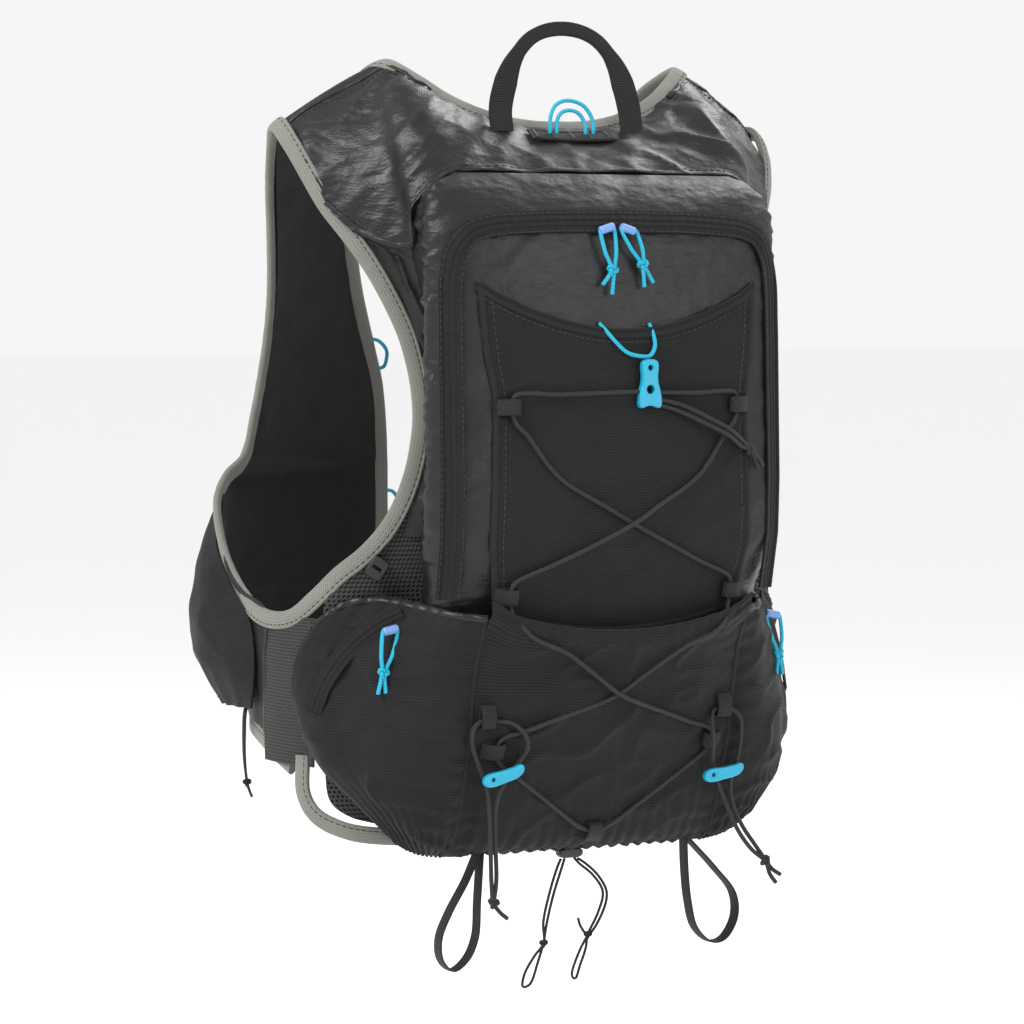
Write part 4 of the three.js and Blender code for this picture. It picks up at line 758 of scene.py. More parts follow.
STASH_WIDE = rows_of(
    "z half",
    (-0.26, 1.06), (-0.36, 1.02), (-0.42, 0.96), (-0.5, 0.97), (-0.62, 0.99), (-0.72, 0.92))
LOWER_ROWS = rows_of(
    "z crown edge",
    (-0.722, 0.98, 0.95), (-0.75, 0.97, 0.83), (-0.79, 0.9, 0.74), (-0.84, 0.84, 0.68),
    (-0.89, 0.77, 0.64), (-0.94, 0.68, 0.57), (-0.99, 0.58, 0.49), (-1.03, 0.49, 0.41),
    (-1.06, 0.38, 0.31), (-1.07, 0.24, 0.2))
# Half of the lacing in millimetres. over is its height above the other half where they cross.
LACE_HALF = rows_of(
    "x y z over",
    (19.2, -84.9, -166.6, 0), (45, -83.4, -167.2, 0), (63, -81.8, -166.4, 0), (69.8, -80.9, -167.2, 0),
    (71.5, -80.5, -170, 0), (71.5, -80.5, -178, 0), (69.8, -80.9, -183, 0), (64, -82, -189, 0),
    (45.3, -84.7, -212.7, 0), (15.3, -87, -230.5, 1.6), (0, -87.2, -239, 3.4),
    (-26.9, -85.2, -252.4, 1.2), (-50, -80.2, -263, 0), (-64, -77.6, -268.6, 0),
    (-69.2, -76.8, -271.8, 0), (-70.3, -76.1, -276, 0), (-70.3, -74.4, -282, 0), (-69, -75.6, -288.4, 0),
    (-65.4, -79.6, -295, 0), (-58, -81.2, -302, 0), (-38, -80, -310.5, 0), (-16.4, -75, -324.8, 1.6),
    (0, -71.6, -336.2, 3.4), (35.7, -65.5, -349.1, 0.6), (54, -61.4, -355.4, 0),
    (64.6, -58.8, -358.2, 0), (68, -57.6, -361, 0), (68.6, -55.8, -366.1, 0), (68, -54.4, -370.6, 0),
    (64.4, -54, -374.8, 0), (55, -52.8, -381.5, 0), (25.7, -47.4, -402.5, 0), (12, -44.6, -412, 0),
    (5, -43.8, -415.2, 0))

armhole = Line(body(ARMHOLE_ROWS), closed=True)
edge_points = body(FRONT_EDGE_ROWS)
neck_line = Line(edge_points[:0:-1] + [flip(p) for p in edge_points])
front_hem = Line(body(FRONT_HEM_ROWS))
back_hem = Line(both_sides(body(BACK_HEM_ROWS)))


def back_y(x, z):
    return (0.14 * (x / CHEST_HALF) ** 2 - look_up(BACK_DEPTH, z / WAIST_DROP, "d")) * CHEST_DEPTH


def folds(p, seed, size, stretch=(1, 1, 1)):
    """Soft noise from -1 to 1 at a size in millimetres, drawn out along one axis."""
    spot = Vector((p.x / stretch[0], p.y / stretch[1], p.z / stretch[2])) / size
    return noise.noise(spot + Vector((seed * 17.3, seed * 5.1, seed * 9.7)))


def creases(p, seed, size, stretch=(1, 1, 1)):
    """Narrow folds from 0 to 1."""
    return (1 - min(1, abs(folds(p, seed, size, stretch)) * 2.2)) ** 2


def turned(p, angle):
    """The point turned about Y, to lay folds on a slant."""
    c, s = math.cos(angle), math.sin(angle)
    return Vector((p.x * c + p.z * s, p.y, p.z * c - p.x * s))


class Surface:
    """A refined grid with normals that face outward."""

    def __init__(self, grid, rows, cols, facing=outward):
        self.grid = refine(grid, rows, cols)
        self.facing = facing
        self.update()

    def update(self):
        rows, cols = len(self.grid), len(self.grid[0])
        middle = self.grid[rows // 2][cols // 2]
        away = normals(self.grid)
        self.sense = 1 if away[rows // 2][cols // 2].dot(self.facing(middle)) > 0 else -1
        self.away = normals(self.grid, self.sense)

    def shape(self, shift):
        self.grid = moved(self.grid, shift, self.sense)
        self.update()

    def at(self, u, v, lift=0.0):
        rows, cols = len(self.grid) - 1, len(self.grid[0]) - 1
        x, y = min(max(u, 0), 1) * cols, min(max(v, 0), 1) * rows
        j, i = min(int(x), cols - 1), min(int(y), rows - 1)
        a, b = x - j, y - i
        spots = []
        for table in (self.grid, self.away):
            top = table[i][j].lerp(table[i][j + 1], a)
            low = table[i + 1][j].lerp(table[i + 1][j + 1], a)
            spots.append(top.lerp(low, b))
        up = spots[1].normalized()
        return spots[0] + up * lift, up

    def trail(self, start, end, lift):
        """spot(share) from start to end, which are places (u, v), and its length."""
        def spot(share):
            return self.at(*(a + (b - a) * share for a, b in zip(start, end)), lift)
        return spot, run_of([spot(k / 60)[0] for k in range(61)])[-1]

    def seam(self, name, start, end, lift, *form, **more):
        ridge(name, *self.trail(start, end, lift), *form, **more)

    def thread(self, name, start, end, lift, *form, **more):
        stitches(name, *self.trail(start, end, lift), *form, **more)

    def make(self, name, thickness, material, nodes=(), mirror=False):
        return cloth(name, self.grid, thickness, material, nodes, mirror, self.sense)


def stitches(name, spot, length, slot, mirror=False, size=2.5, space=1.2, radius=0.3):
    """Short sewn threads along spot(share), which gives a place and its normal."""
    verts, faces, uvs = [], [], []
    count = max(2, int(length / (size + space)))
    rings = ((0, 0.3, -0.5), (0.15, 0.9, 0.3), (0.5, 1, 0.6), (0.85, 0.9, 0.3), (1, 0.3, -0.5))
    for k in range(count):
        a, up = spot((k + 0.1) / count)
        b = spot((k + 0.1 + size / (size + space)) / count)[0]
        side = (b - a).cross(up).normalized()
        start = len(verts)
        for share, wide, high in rings:
            centre = a.lerp(b, share) + up * radius * high
            for x, y in circle(radius * wide, 5):
                verts.append(centre + side * x + up * y)
                uvs.append((share * size * MM, 0.2 * x * MM))
        for first in range(start, start + 20, 5):
            for s in range(5):
                n = (s + 1) % 5
                faces.append((first + s, first + n, first + 5 + n, first + 5 + s))
        faces.append(tuple(range(start + 4, start - 1, -1)))
        faces.append(tuple(range(start + 20, start + 25)))
    return piece(name, verts, faces, uvs, THREAD, (), mirror)


def flat_section(half_width, half_height, power=0.75, sides=14):
    """(out, across) pairs of a rounded flat section."""
    pairs = []
    for k in range(sides):
        c, s = math.cos(2 * math.pi * k / sides), math.sin(2 * math.pi * k / sides)
        pairs.append((
            math.copysign(abs(c) ** power, c) * half_height,
            math.copysign(abs(s) ** power, s) * half_width))
    return pairs


def strip(name, line, section, material, nodes=(), normal_of=outward, side=0.0, rise=0.0,
          mirror=False, step=1.6, around=30):
    """A flat band along a line. section(share) lists (out, across) pairs.

    It gives back a function that lays a trail beside the line.
    """
    steps = int(line.length / step)

    def frame_at(share, centre):
        tangent = line.tangent(share)
        across = tangent.cross(normal_of(centre)).normalized()
        return across.cross(tangent), across

    def placed(share):
        return [(o + rise, a + side) for o, a in section(share)]
    tube(name, line, placed, frame_at, steps, material, nodes, mirror, around)

    def spot_at(offset, lift):
        def spot(share):
            centre = line.point(share)
            out, across = frame_at(share, centre)
            return centre + across * (side + offset) + out * (rise + lift), out
        return spot
    return spot_at


def ridge(name, spot, length, half_width, half_height, material, slot, mirror=False, puckers=0.0, step=1.8):
    """A raised seam along spot(share)."""
    line = Line([spot(k / 40)[0] for k in range(41)])
    steps = int(length / step)

    def frame_at(share, _centre):
        up = spot(share)[1]
        across = line.tangent(share).cross(up).normalized()
        return across.cross(line.tangent(share)), across

    def section(share):
        swell = 1 + puckers * noise.noise(Vector((share * length / 2.6, half_width * 7, 3.3)))
        return flat_section(half_width, half_height * swell)
    return tube(name, line, section, frame_at, steps, material, mirror=mirror, around=2 * half_width)


# Soft bindings
def binding_section(seed, length):
    def section(share):
        wave = noise.noise(Vector((share * length / 5.5, seed, 0.7)))
        wide = noise.noise(Vector((share * length / 19, seed, 4.1)))
        return flat_section(BINDING_HALF + 0.25 * wide, BINDING_RISE + 0.22 * wave, 0.8, 18)
    return section


def binding(name, line, seed, normal_of, seam, side=0.0, mirror=False):
    """A soft binding: the narrow roll between its seam and the cloth, the wide roll and the thread."""
    def lip(share):
        wave = noise.noise(Vector((share * line.length / 7, 3.1, seam)))
        return flat_section(1.15 + 0.15 * wave, 1.0, 0.9, 10)
    strip(f"{name}_lip", line, lip, GREY, (), normal_of, seam, 1.25, mirror, around=7)
    at = strip(f"{name}_soft", line, binding_section(seed, line.length), GREY, (name,),
               normal_of, side, mirror=mirror)
    stitches(f"{name}_thread", at(math.copysign(2.9, seam), 2.05), line.length, "binding", mirror)


for side, mirror in SIDES:
    binding(f"arm_binding_{side}", armhole, 1 + mirror, outward, -8.7, -4.5, mirror)
    binding(f"hem_binding_{side}", front_hem, 5 + mirror, level, -4.2, mirror=mirror)
binding("neck_binding", neck_line, 3, outward, 4.2)
binding("hem_binding_back", back_hem, 8, level, -4.2)


# Panels on the body
back_rows = BACK_PANEL_ROWS + [dict(z=-1.042, half=0.5)]
back_panel = Surface([[
    Vector((x, back_y(x, row["z"] * WAIST_DROP), row["z"] * WAIST_DROP))
    for x in ((2 * j / 10 - 1) * (row["half"] * CHEST_HALF - 4) for j in range(11))]
    for row in back_rows], 110, 90)
back_panel.shape(lambda u, v, p: 0.5 * folds(p, 3, 30) + 0.25 * folds(p, 4, 9))
back_panel.make("back_panel_mesh", 3, SPACER, ("back_panel",))


def shortened(points, first, last):
    line = Line(points)
    count = len(points) - 1
    return [
        line.point((first + (line.length - first - last) * j / count) / line.length)
        for j in range(count + 1)]


tops, lows = (Line(side + [flip(p) for p in side[-2::-1]]) for side in (
    body([c["top"] for c in YOKE_COLUMNS]), body([c["low"] for c in YOKE_COLUMNS])))


def yoke_point(column, share):
    place = column / 18
    point = tops.at(place).lerp(lows.at(place), share)
    near = round(column if column <= 9 else 18 - column)
    swell = YOKE_COLUMNS[near]["puff"] * CHEST_DEPTH * arch(share)
    return point + outward(point) * swell


def yoke_column(column):
    """The outer columns keep clear of the arm bindings, the middle ones reach under the pack's top."""
    drift = {0: 0.28, 18: -0.28}.get(column, 0)
    points = [yoke_point(column + drift * (1 + 1.6 * i / 6), i / 6) for i in range(7)]
    return shortened(points, 3.5 if 4 < column < 14 else 0.5, -1.5 if 3 < column < 15 else 0.3)


yoke = Surface([yoke_column(column) for column in range(19)], 170, 64)


def yoke_folds(_u, v, p):
    slant = turned(p, 0.75 if p.x < 0 else -0.75)
    calm = arch(min(max(v, 0.01), 0.99)) ** 0.6
    deep = creases(slant, 5, 24, (3.2, 1, 0.7)) * 2.2 + folds(slant, 6, 10, (3.4, 1, 0.8)) * 0.9
    return calm * (deep + folds(p, 7, 60) * 1.6 - 0.6) * (0.35 + 0.65 * min(1, abs(p.x) / 60))


yoke.shape(yoke_folds)
yoke.make("yoke_cloth", 2.2, SHELL, ("yoke",))
yoke.thread("yoke_seam_thread", (0.93, 0), (0.93, 1), 1.15, "woven_cloth")
yoke.seam("yoke_seam", (0.98, 0), (0.98, 1), 1.15, 1.5, 0.7, SHELL, "woven_cloth", puckers=0.4)
for side, end, stop in (("left", 0.02, 0.3), ("right", 0.98, 0.7)):
    yoke.seam(f"shoulder_seam_{side}", (0.03, end), (0.03, stop), 1.2, 1.4, 0.8, SHELL, "woven_cloth",
              puckers=0.4)
    yoke.thread(f"shoulder_thread_{side}", (0.075, end), (0.075, stop), 1.2, "woven_cloth")

waist_section = Line(body([
    [-1.03, 0.32, 0], [-1.05, 0.47, 0], [-1.045, 0.6, 0], [-0.96, 0.72, 0],
    [-0.77, 0.83, 0], [-0.53, 0.905, 0], [-0.32, 0.945, 0], [-0.12, 0.965, 0],
]))
arm_spots = [armhole.point(k / 400) for k in range(400)]


def waist_point(share, z, girth=1.0):
    point = waist_section.point(min(share, 1))
    inset = 1 - (1 - girth) * arch(min(share * 1.2, 0.5))
    return Vector((point.x * inset, point.y * inset, z * WAIST_DROP))


def arm_share(z):
    """Where the level line at z runs under the armhole's binding."""
    shares = [k / 150 for k in range(100)]
    near = [min((waist_point(s, z) - spot).length for spot in arm_spots) for s in shares]
    return shares[near.index(min(near))] + 5 / waist_section.length


strap_rows = [dict(arm=[-1.045, 0.19, -0.062], edge=[-0.635, 0.12, 0.036], puff=0.0)] + STRAP_ROWS
front_grid = []
for row in strap_rows:
    points = []
    for j in range(8):
        point = body([row["arm"]])[0].lerp(body([row["edge"]])[0], j / 7)
        points.append(point + outward(point) * (row["puff"] * CHEST_DEPTH * 4 * (j / 7) * (1 - j / 7)))
    front_grid.append(shortened(points, 6.2, 3.5))
for row in WAIST_ROWS:
    start = arm_share(row["z"]) if row["start"] > 0 else 0
    points = [waist_point(start + (1 - start) * j / 7, row["z"], row["girth"]) for j in range(8)]
    # Toward the hem the panel draws in to the hem's own line
    pull = {-0.86: 0.45, -0.91: 1}.get(row["z"], 0)
    hem = [front_hem.point(0.84 * (1 - j / 6.4)) for j in range(7)] + [edge_points[-1]]
    points = [p.lerp(Vector((h.x, h.y, p.z)), pull) for p, h in zip(points, hem)]
    front_grid.append(shortened(points, 0, 3.5))
front = Surface(front_grid, 150, 52, level)
front.shape(lambda u, v, p: arch(u) ** 0.5 * (
    0.9 * folds(p, 11, 45) + 0.5 * folds(turned(p, 0.5), 12, 14, (2.5, 2.5, 0.8))))
side_panel = Surface([[
    Vector((-0.985 * CHEST_HALF, back_y(0.985 * CHEST_HALF, z * WAIST_DROP), z * WAIST_DROP)).lerp(
        waist_point(0.006, z, 0.96 if z < -0.8 else 1), j / 3) + Vector((
            -0.02 * CHEST_HALF * arch(j / 3), 0, 0))
    for j in range(4)] for z in SIDE_ROWS], 60, 40, level)
side_panel.shape(lambda u, v, p: 0.6 * folds(p, 13, 25, (1, 1, 0.6)))
pocket_grid = []
for row in POCKET_ROWS:
    points = []
    for j in range(9):
        girth = 1 - max(0, -0.79 - row["z"]) * 0.45
        point = waist_point(row["start"] + (row["end"] - row["start"]) * j / 8, row["z"], girth)
        puff = POCKET_PUFF * row["bulge"] * arch(j / 8) ** 0.7
        points.append(point + level(point) * (1.9 + LIFT + puff))
    pocket_grid.append(points)
pocket = Surface(pocket_grid, 80, 80, level)


def pocket_folds(u, v, p):
    rim = math.exp(-v * 9) + math.exp(-(1 - v) * 9)
    gather = rim * 0.9 * math.sin(u * 75 + 3 * folds(p, 21, 20))
    soft = 1.5 * folds(p, 22, 26) + 1.3 * creases(turned(p, 0.4), 23, 30, (1, 1, 0.6))
    return arch(u) ** 0.5 * (gather + soft * arch(v))


pocket.shape(pocket_folds)
for side, mirror in SIDES:
    front.make(f"front_panel_{side}_cloth", 2, FRONT, (f"front_panel_{side}",), mirror)
    side_panel.make(f"side_panel_{side}_mesh", 1.6, NET, (f"side_panel_{side}",), mirror)
    pocket.make(f"front_pocket_{side}_cloth", 1.4, STRETCH, (f"front_pocket_{side}",),
                mirror)
    front.seam(f"side_seam_{side}", (0, 0.62), (0, 1), 1.2, 2.2, 0.9, SHELL, "front_cloth", mirror)
    side_panel.thread(f"side_thread_{side}", (0.09, 0), (0.09, 1), 0.9, "side_mesh", mirror)
    side_panel.seam(f"back_seam_{side}", (0, 0), (0, 1), 0.6, 2.0, 0.9, SHELL, "side_mesh", mirror)
    pocket.seam(f"pocket_edge_{side}", (0, 0.015), (1, 0.015), 0.6, 2.4, 1.0, STRETCH, "front_cloth",
                mirror, 0.9)
    for v in (0.05, 0.96):
        pocket.thread(f"pocket_thread_{side}_{int(v * 100)}", (0, v), (1, v), 0.85, "front_cloth", mirror)
    front.seam(f"front_seam_{side}", (0, 0.585), (1, 0.585), 1.1, 0.9, 0.5, FRONT, "front_cloth", mirror,
               0.4)


# The pack
def shell_point(row, part, side):
    foot = row["foot"] * part["base"] + row["half"] * (1 - part["base"])
    depth = row["seat"] + (row["crown"] - row["seat"]) * part["depth"]
    return Vector((side * PACK_HALF * foot * part["across"], -PACK_DEPTH * depth, row["z"] * WAIST_DROP))


def face_y(x, z):
    share = z / WAIST_DROP
    half, seat, crown = (look_up(SHELL_ROWS, share, key) for key in ("half", "seat", "crown"))
    face = SHELL_SECTION[3:]
    across = min(abs(x) / (half * PACK_HALF), face[0]["across"])
    depth = look_up(face, across, "depth", "across")
    return -PACK_DEPTH * (seat + (crown - seat) * depth) - 1


def tucked(row):
    """The compartment drawn in where the lower pockets cover it."""
    share = 0.94 if row["z"] < -0.69 else 1
    return dict(row, half=row["half"] * share, crown=row["crown"] * share, foot=row["foot"] * share)


shell = Surface([
    [shell_point(row, part, -1) for part in SHELL_SECTION]
    + [shell_point(row, part, 1) for part in SHELL_SECTION[-2::-1]] for row in map(tucked, SHELL_ROWS)],
    150, 170, lambda _p: BEHIND)


def shell_folds(u, v, p):
    flank = max(0, min(1, (0.22 - u) / 0.05), min(1, (u - 0.78) / 0.05))
    pleats = math.sin(p.z * 0.75 + 3.5 * folds(p, 35, 26)) * (0.5 + 0.5 * folds(p, 36, 30))
    gusset = 1.7 * creases(p, 31, 11, (5, 5, 0.75)) + 1.0 * folds(p, 32, 8, (4, 4, 0.8)) + 1.0 * pleats
    slant = turned(p, 0.6)
    face = 1.1 * creases(slant, 33, 38, (3, 1, 0.8)) + 0.6 * folds(slant, 34, 16, (2.5, 1, 0.8))
    return (flank * gusset + 0.8 * (1 - flank) * face) * min(1, v * 12)


shell.shape(shell_folds)
shell.make("main_compartment_cloth", 1.8, SHELL, ("main_compartment",))

arm_back = rows_of("x y z", *ARMHOLE_ROWS[1:11])
flank_grid = [body([(-0.985, 0.068, -0.137), (-0.93, 0.012, -0.17), (-0.88, -0.03, -0.19),
                    (-0.83, -0.06, -0.2), (-0.77, -0.1, -0.205), (-0.69, -0.14, -0.2)])]
for arm_z, pack_z in ((-0.19, -0.24), (-0.23, -0.27), (-0.28, -0.31), (-0.34, -0.36), (-0.4, -0.41),
                      (-0.47, -0.47), (-0.535, -0.53), (-0.59, -0.58), (-0.62, -0.62)):
    arm_x, arm_y = (look_up(arm_back, arm_z, key) for key in ("x", "y"))
    foot, seat = (look_up(SHELL_ROWS, pack_z, key) for key in ("foot", "seat"))
    start = body([(arm_x, arm_y, arm_z)])[0] + Vector((5.5, -1.6, 0))
    end = Vector((4 - foot * PACK_HALF, -seat * PACK_DEPTH - 2.5, pack_z * WAIST_DROP))
    flank_grid.append([start.lerp(end, k / 5) for k in range(6)])
flank = Surface(flank_grid, 110, 40, level)


def flank_folds(u, v, p):
    slant = turned(p, 0.35)
    deep = 2.4 * creases(slant, 71, 13, (1, 1, 4.5)) + 1.0 * folds(slant, 72, 9, (1, 1, 3))
    return (deep - 0.8) * arch(min(max(u, 0.03), 0.97))


flank.shape(flank_folds)
for side, mirror in SIDES:
    flank.make(f"back_flank_{side}", 1.2, SHELL, (), mirror)
    flank.seam(f"flank_seam_{side}", (0.9, 0), (0.9, 1), 0.4, 1.4, 0.9, SHELL, "woven_cloth", mirror, 0.8)

zip_line = Line(both_sides([Vector((x * PACK_HALF, 0, z * WAIST_DROP)) for x, z in ZIP_PATH]))


def zip_grid(line, count, across_of, lift_at, width):
    grid, cols = [], 21
    for i in range(count + 1):
        point = line.point(i / count)
        across = across_of(i / count, point)
        row = []
        for j in range(cols):
            edge = (j / (cols - 1) - 0.5) * width
            row.append(lift_at(point + across * edge, edge))
        grid.append(row)
    return grid


def coil(edge):
    """Relief of a zip: two tapes that meet over the covered teeth."""
    return 0.75 * math.exp(-(abs(edge) - 1.5) ** 2 / 0.7) + 0.25 * math.exp(-(abs(edge) - 4.4) ** 2 / 0.3)


def zip_across(share, _point=None):
    return zip_line.tangent(share).cross(BEHIND).normalized()


def over_face(spot, lift):
    return Vector((spot.x, face_y(spot.x, spot.z) - 2 * LIFT - lift, spot.z))


main_zip = zip_grid(zip_line, 300, zip_across, lambda spot, edge: over_face(spot, 0.6 + coil(edge)), 12)
zip_sense = 1 if normals(main_zip)[150][10].y < 0 else -1
cloth("zip_main_tape", main_zip, 1.2, TAPE, ("zip_main",), sense=zip_sense)
for name, offset in (("out", -5.1), ("in", 5.1)):
    def zip_spot(share, offset=offset):
        return over_face(zip_line.point(share) + zip_across(share) * offset, 1.35), BEHIND
    stitches(f"zip_main_thread_{name}", zip_spot, zip_line.length, "zip_tape")


def stash_point(u, v):
    bow = math.cos(math.pi / 2 * min(abs(u), 1))
    top = (-0.262 - 0.068 * bow ** 0.8) * WAIST_DROP
    low = (-0.715 - 0.04 * bow ** 0.6) * WAIST_DROP
    z = top + (low - top) * v
    x = u * STASH_HALF * look_up(STASH_WIDE, z / WAIST_DROP, "half")
    puff = STASH_PUFF * math.cos(math.pi / 2 * abs(u)) * (0.5 + 0.5 * arch(v))
    return Vector((x, face_y(x, z) - 0.7 - LIFT - puff, z))


stash = Surface([[stash_point(2 * j / 20 - 1, i / 14) for j in range(21)] for i in range(15)],
                130, 130, lambda _p: BEHIND)
stash.shape(lambda u, v, p: (
    0.8 * folds(p, 41, 48) + 0.6 * creases(turned(p, 0.4), 42, 30, (2, 1, 0.6))
    + 0.2 * folds(p, 43, 9, (4, 1, 0.5))))
stash.make("stash_pocket_cloth", 1.4, STRETCH, ("stash_pocket",))
stash.seam("stash_top_edge", (0.005, 0.012), (0.995, 0.012), 0.5, 3.0, 1.0, STRETCH, "stretch_cloth",
           puckers=0.3)
stash.thread("stash_top_thread", (0.01, 0.04), (0.99, 0.04), 0.85, "stretch_cloth")
stash.seam("stash_low_seam", (0.01, 0.985), (0.99, 0.985), 0.5, 1.8, 0.9, STRETCH, "stretch_cloth",
           puckers=0.5)
for side, u, inner in (("left", 0.012, 0.042), ("right", 0.988, 0.958)):
    stash.seam(f"stash_side_seam_{side}", (u, 0.02), (u, 0.98), 0.5, 1.7, 0.8, STRETCH, "stretch_cloth",
               puckers=0.5)
    stash.thread(f"stash_side_thread_{side}", (inner, 0.02), (inner, 0.98), 0.8, "stretch_cloth")


def lower_dip(u):
    return 0.045 * WAIST_DROP * math.cos(math.pi / 2 * min(abs(u), 1)) ** 0.6


lower_grid = []
lower_rows = [dict(z=-0.702, crown=1.013, edge=0.985), dict(LOWER_ROWS[0], crown=1.0)] + LOWER_ROWS[1:]
for i, row in enumerate(lower_rows):
    lower_grid.append([])
    for j in range(13):
        u = 2 * j / 12 - 1
        depth = row["edge"] + (row["crown"] - row["edge"]) * (1 - u * u)
        lower_grid[-1].append(Vector((
            u * (LOWER_HALF - 0.2), -depth * PACK_DEPTH - LIFT,
            row["z"] * WAIST_DROP - lower_dip(u) * min(1, max(0, 1 - (i - 1) / 3)))))
lower = Surface(lower_grid, 110, 150, level)


def gathers(u, v, p, seed, count):
    rim = math.exp(-(1 - v) * 7) + 0.45 * math.exp(-v * 12)
    return rim * 1.25 * min(1, 16 * u, 16 - 16 * u) * math.sin(u * count + 2.5 * folds(p, seed, 22))


def lower_folds(u, v, p):
    soft = 2.2 * folds(p, 51, 34) + 2.4 * creases(turned(p, 0.3), 52, 34, (1, 1, 0.5))
    rim = math.exp(-u * 20) * min(1, u * 25) + math.exp(-(1 - u) * 20) * min(1, 25 - u * 25)
    side_gather = rim * 1.3 * math.sin(v * 90 + 2 * folds(p, 54, 16))
    soft *= arch(min(v * 1.02, 1)) * min(1, 6 * u, 6 - 6 * u)
    return gathers(u, v, p, 53, 120) + side_gather + soft


lower.shape(lower_folds)
lower.make("lower_pocket_cloth", 1.4, STRETCH, ("lower_pocket",))
lower.thread("lower_hem_thread", (0, 0.93), (1, 0.93), 0.9, "stretch_cloth")
lower.seam("lower_hem_edge", (0, 0.985), (1, 0.985), 0.3, 2.4, 1.1, STRETCH, "stretch_cloth", puckers=0.8)

seam_points = [
    Vector((-LOWER_HALF - 0.2, -row["edge"] * PACK_DEPTH - LIFT, row["z"] * WAIST_DROP))
    for row in LOWER_ROWS]
seam_points[0] = body([[-0.557, -0.37, -0.722]])[0]
wing_lines = (
    Line(body([[-0.557, -0.37, -0.722], [-0.647, -0.31, -0.718], [-0.707, -0.2, -0.71],
               [-0.8, -0.06, -0.702], [-0.907, -0.01, -0.71], [-0.99, 0.04, -0.738]])),
    Line([seam_points[-1], *body([[-0.65, -0.085, -1.065], [-0.75, -0.09, -1.05]])]),
    Line(seam_points),
    Line(body([[-0.99, 0.04, -0.738], [-1.03, 0.09, -0.775], [-1.045, 0.12, -0.825],
               [-1.035, 0.1, -0.88], [-0.98, 0.03, -0.945], [-0.88, -0.05, -0.995], [-0.75, -0.09, -1.05]])))


def wing_point(u, v):
    top, foot, left, right = wing_lines
    across = top.point(u).lerp(foot.point(u), v)
    down = left.point(v).lerp(right.point(v), u)
    corners = top.point(0).lerp(top.point(1), u).lerp(foot.point(0).lerp(foot.point(1), u), v)
    point = across + down - corners
    puff = WING_PUFF * arch(u) ** 0.8 * arch(v) ** 0.7
    return point + level(point) * puff


wing = Surface([[wing_point(j / 16, i / 16) for j in range(17)] for i in range(17)], 110, 110, level)


def wing_folds(u, v, p):
    soft = 2.0 * folds(p, 61, 36) + 2.4 * creases(turned(p, -0.5), 62, 32, (1, 1, 0.5))
    rim = math.exp(-u * 16) * min(1, u * 25)
    side_gather = rim * 1.4 * math.sin(v * 90 + 2 * folds(p, 64, 16))
    inner = min(1, 8 * u, 8 - 8 * u, 8 * v, 8 - 8 * v)
    return gathers(u, v, p, 63, 70) * min(1, 8 - 8 * u) + side_gather + soft * inner


wing.shape(wing_folds)
wing_zip_line = Line(body([
    [-0.765, -0.16, -0.722], [-0.825, -0.112, -0.738], [-0.915, -0.052, -0.774],
    [-0.985, -0.01, -0.82], [-1.02, 0.01, -0.862],
]))


def wing_zip_across(share, point):
    return wing_zip_line.tangent(share).cross(level(point)).normalized()


wing_zip = zip_grid(
    wing_zip_line, 90, wing_zip_across, lambda spot, edge: spot + level(spot) * (1.8 + coil(edge)), 10.5)
wing_zip_sense = 1 if normals(wing_zip)[45][10].dot(level(wing_zip[45][10])) > 0 else -1
for side, mirror in SIDES:
    wing.make(f"wing_{side}_cloth", 1.4, STRETCH, (f"wing_{side}",), mirror)
    cloth(f"zip_wing_{side}_tape", wing_zip, 1.2, TAPE, (f"zip_wing_{side}",), mirror,
          wing_zip_sense)
    wing.seam(f"wing_seam_{side}", (0.004, 0.01), (0.004, 0.99), 0.4, 1.6, 0.9, STRETCH, "stretch_cloth",
              mirror, 0.6)
    wing.seam(f"wing_top_seam_{side}", (0, 0.015), (1, 0.015), 0.4, 1.8, 0.9, SHELL, "stretch_cloth",
              mirror, 0.5)
    wing.thread(f"wing_thread_{side}", (0, 0.93), (1, 0.93), 0.8, "stretch_cloth", mirror)


# Webbing: handle, patch, lace loops and hanging loops
HAUL_HALF, HAUL_DEPTH, HAUL_HIGH = 42, 40, 40
haul_line = Line(both_sides([Vector((x * HAUL_HALF, -y * HAUL_DEPTH, z * HAUL_HIGH)) for x, y, z in (
    (-1, 0.3, -0.5), (-1, 0.24, -0.2), (-0.93, 0.22, 0.12), (-0.78, 0.2, 0.5), (-0.52, 0.18, 0.82),
    (-0.2, 0.17, 0.96))]))


def haul_section(share):
    grip = min(1, max(0, 1 - (abs(share - 0.5) - 0.2) / 0.12))
    wobble = noise.noise(Vector((share * 14, 2.2, 0)))
    return flat_section(7.5 - 3.4 * grip + 0.2 * wobble, 0.65 + 0.75 * grip, 0.45, 16)


strip("haul_loop_web", haul_line, haul_section, WEB, ("haul_loop",), lambda _p: BEHIND)

patch = Surface([[
    yoke_point(9 + c, s) + outward(yoke_point(9 + c, s)) * 2.8 for c in (-1, -0.5, 0, 0.5, 1)]
    for s in (0.2, 0.3, 0.4)], 24, 60)
patch.make("neck_patch_web", 1.3, WEB, ("neck_patch",))
for k in range(5):
    u = 0.06 + 0.22 * k
    patch.seam(f"neck_bartack_{k}", (u, 0.1), (u, 0.9), 0.75, 0.8, 0.45, THREAD, "webbing", puckers=0.6,
               step=0.8)
for v in (0.1, 0.9):
    patch.thread(f"neck_patch_thread_{int(v * 10)}", (0.02, v), (0.98, v), 0.8, "webbing", size=1.8,
                 space=0.9)

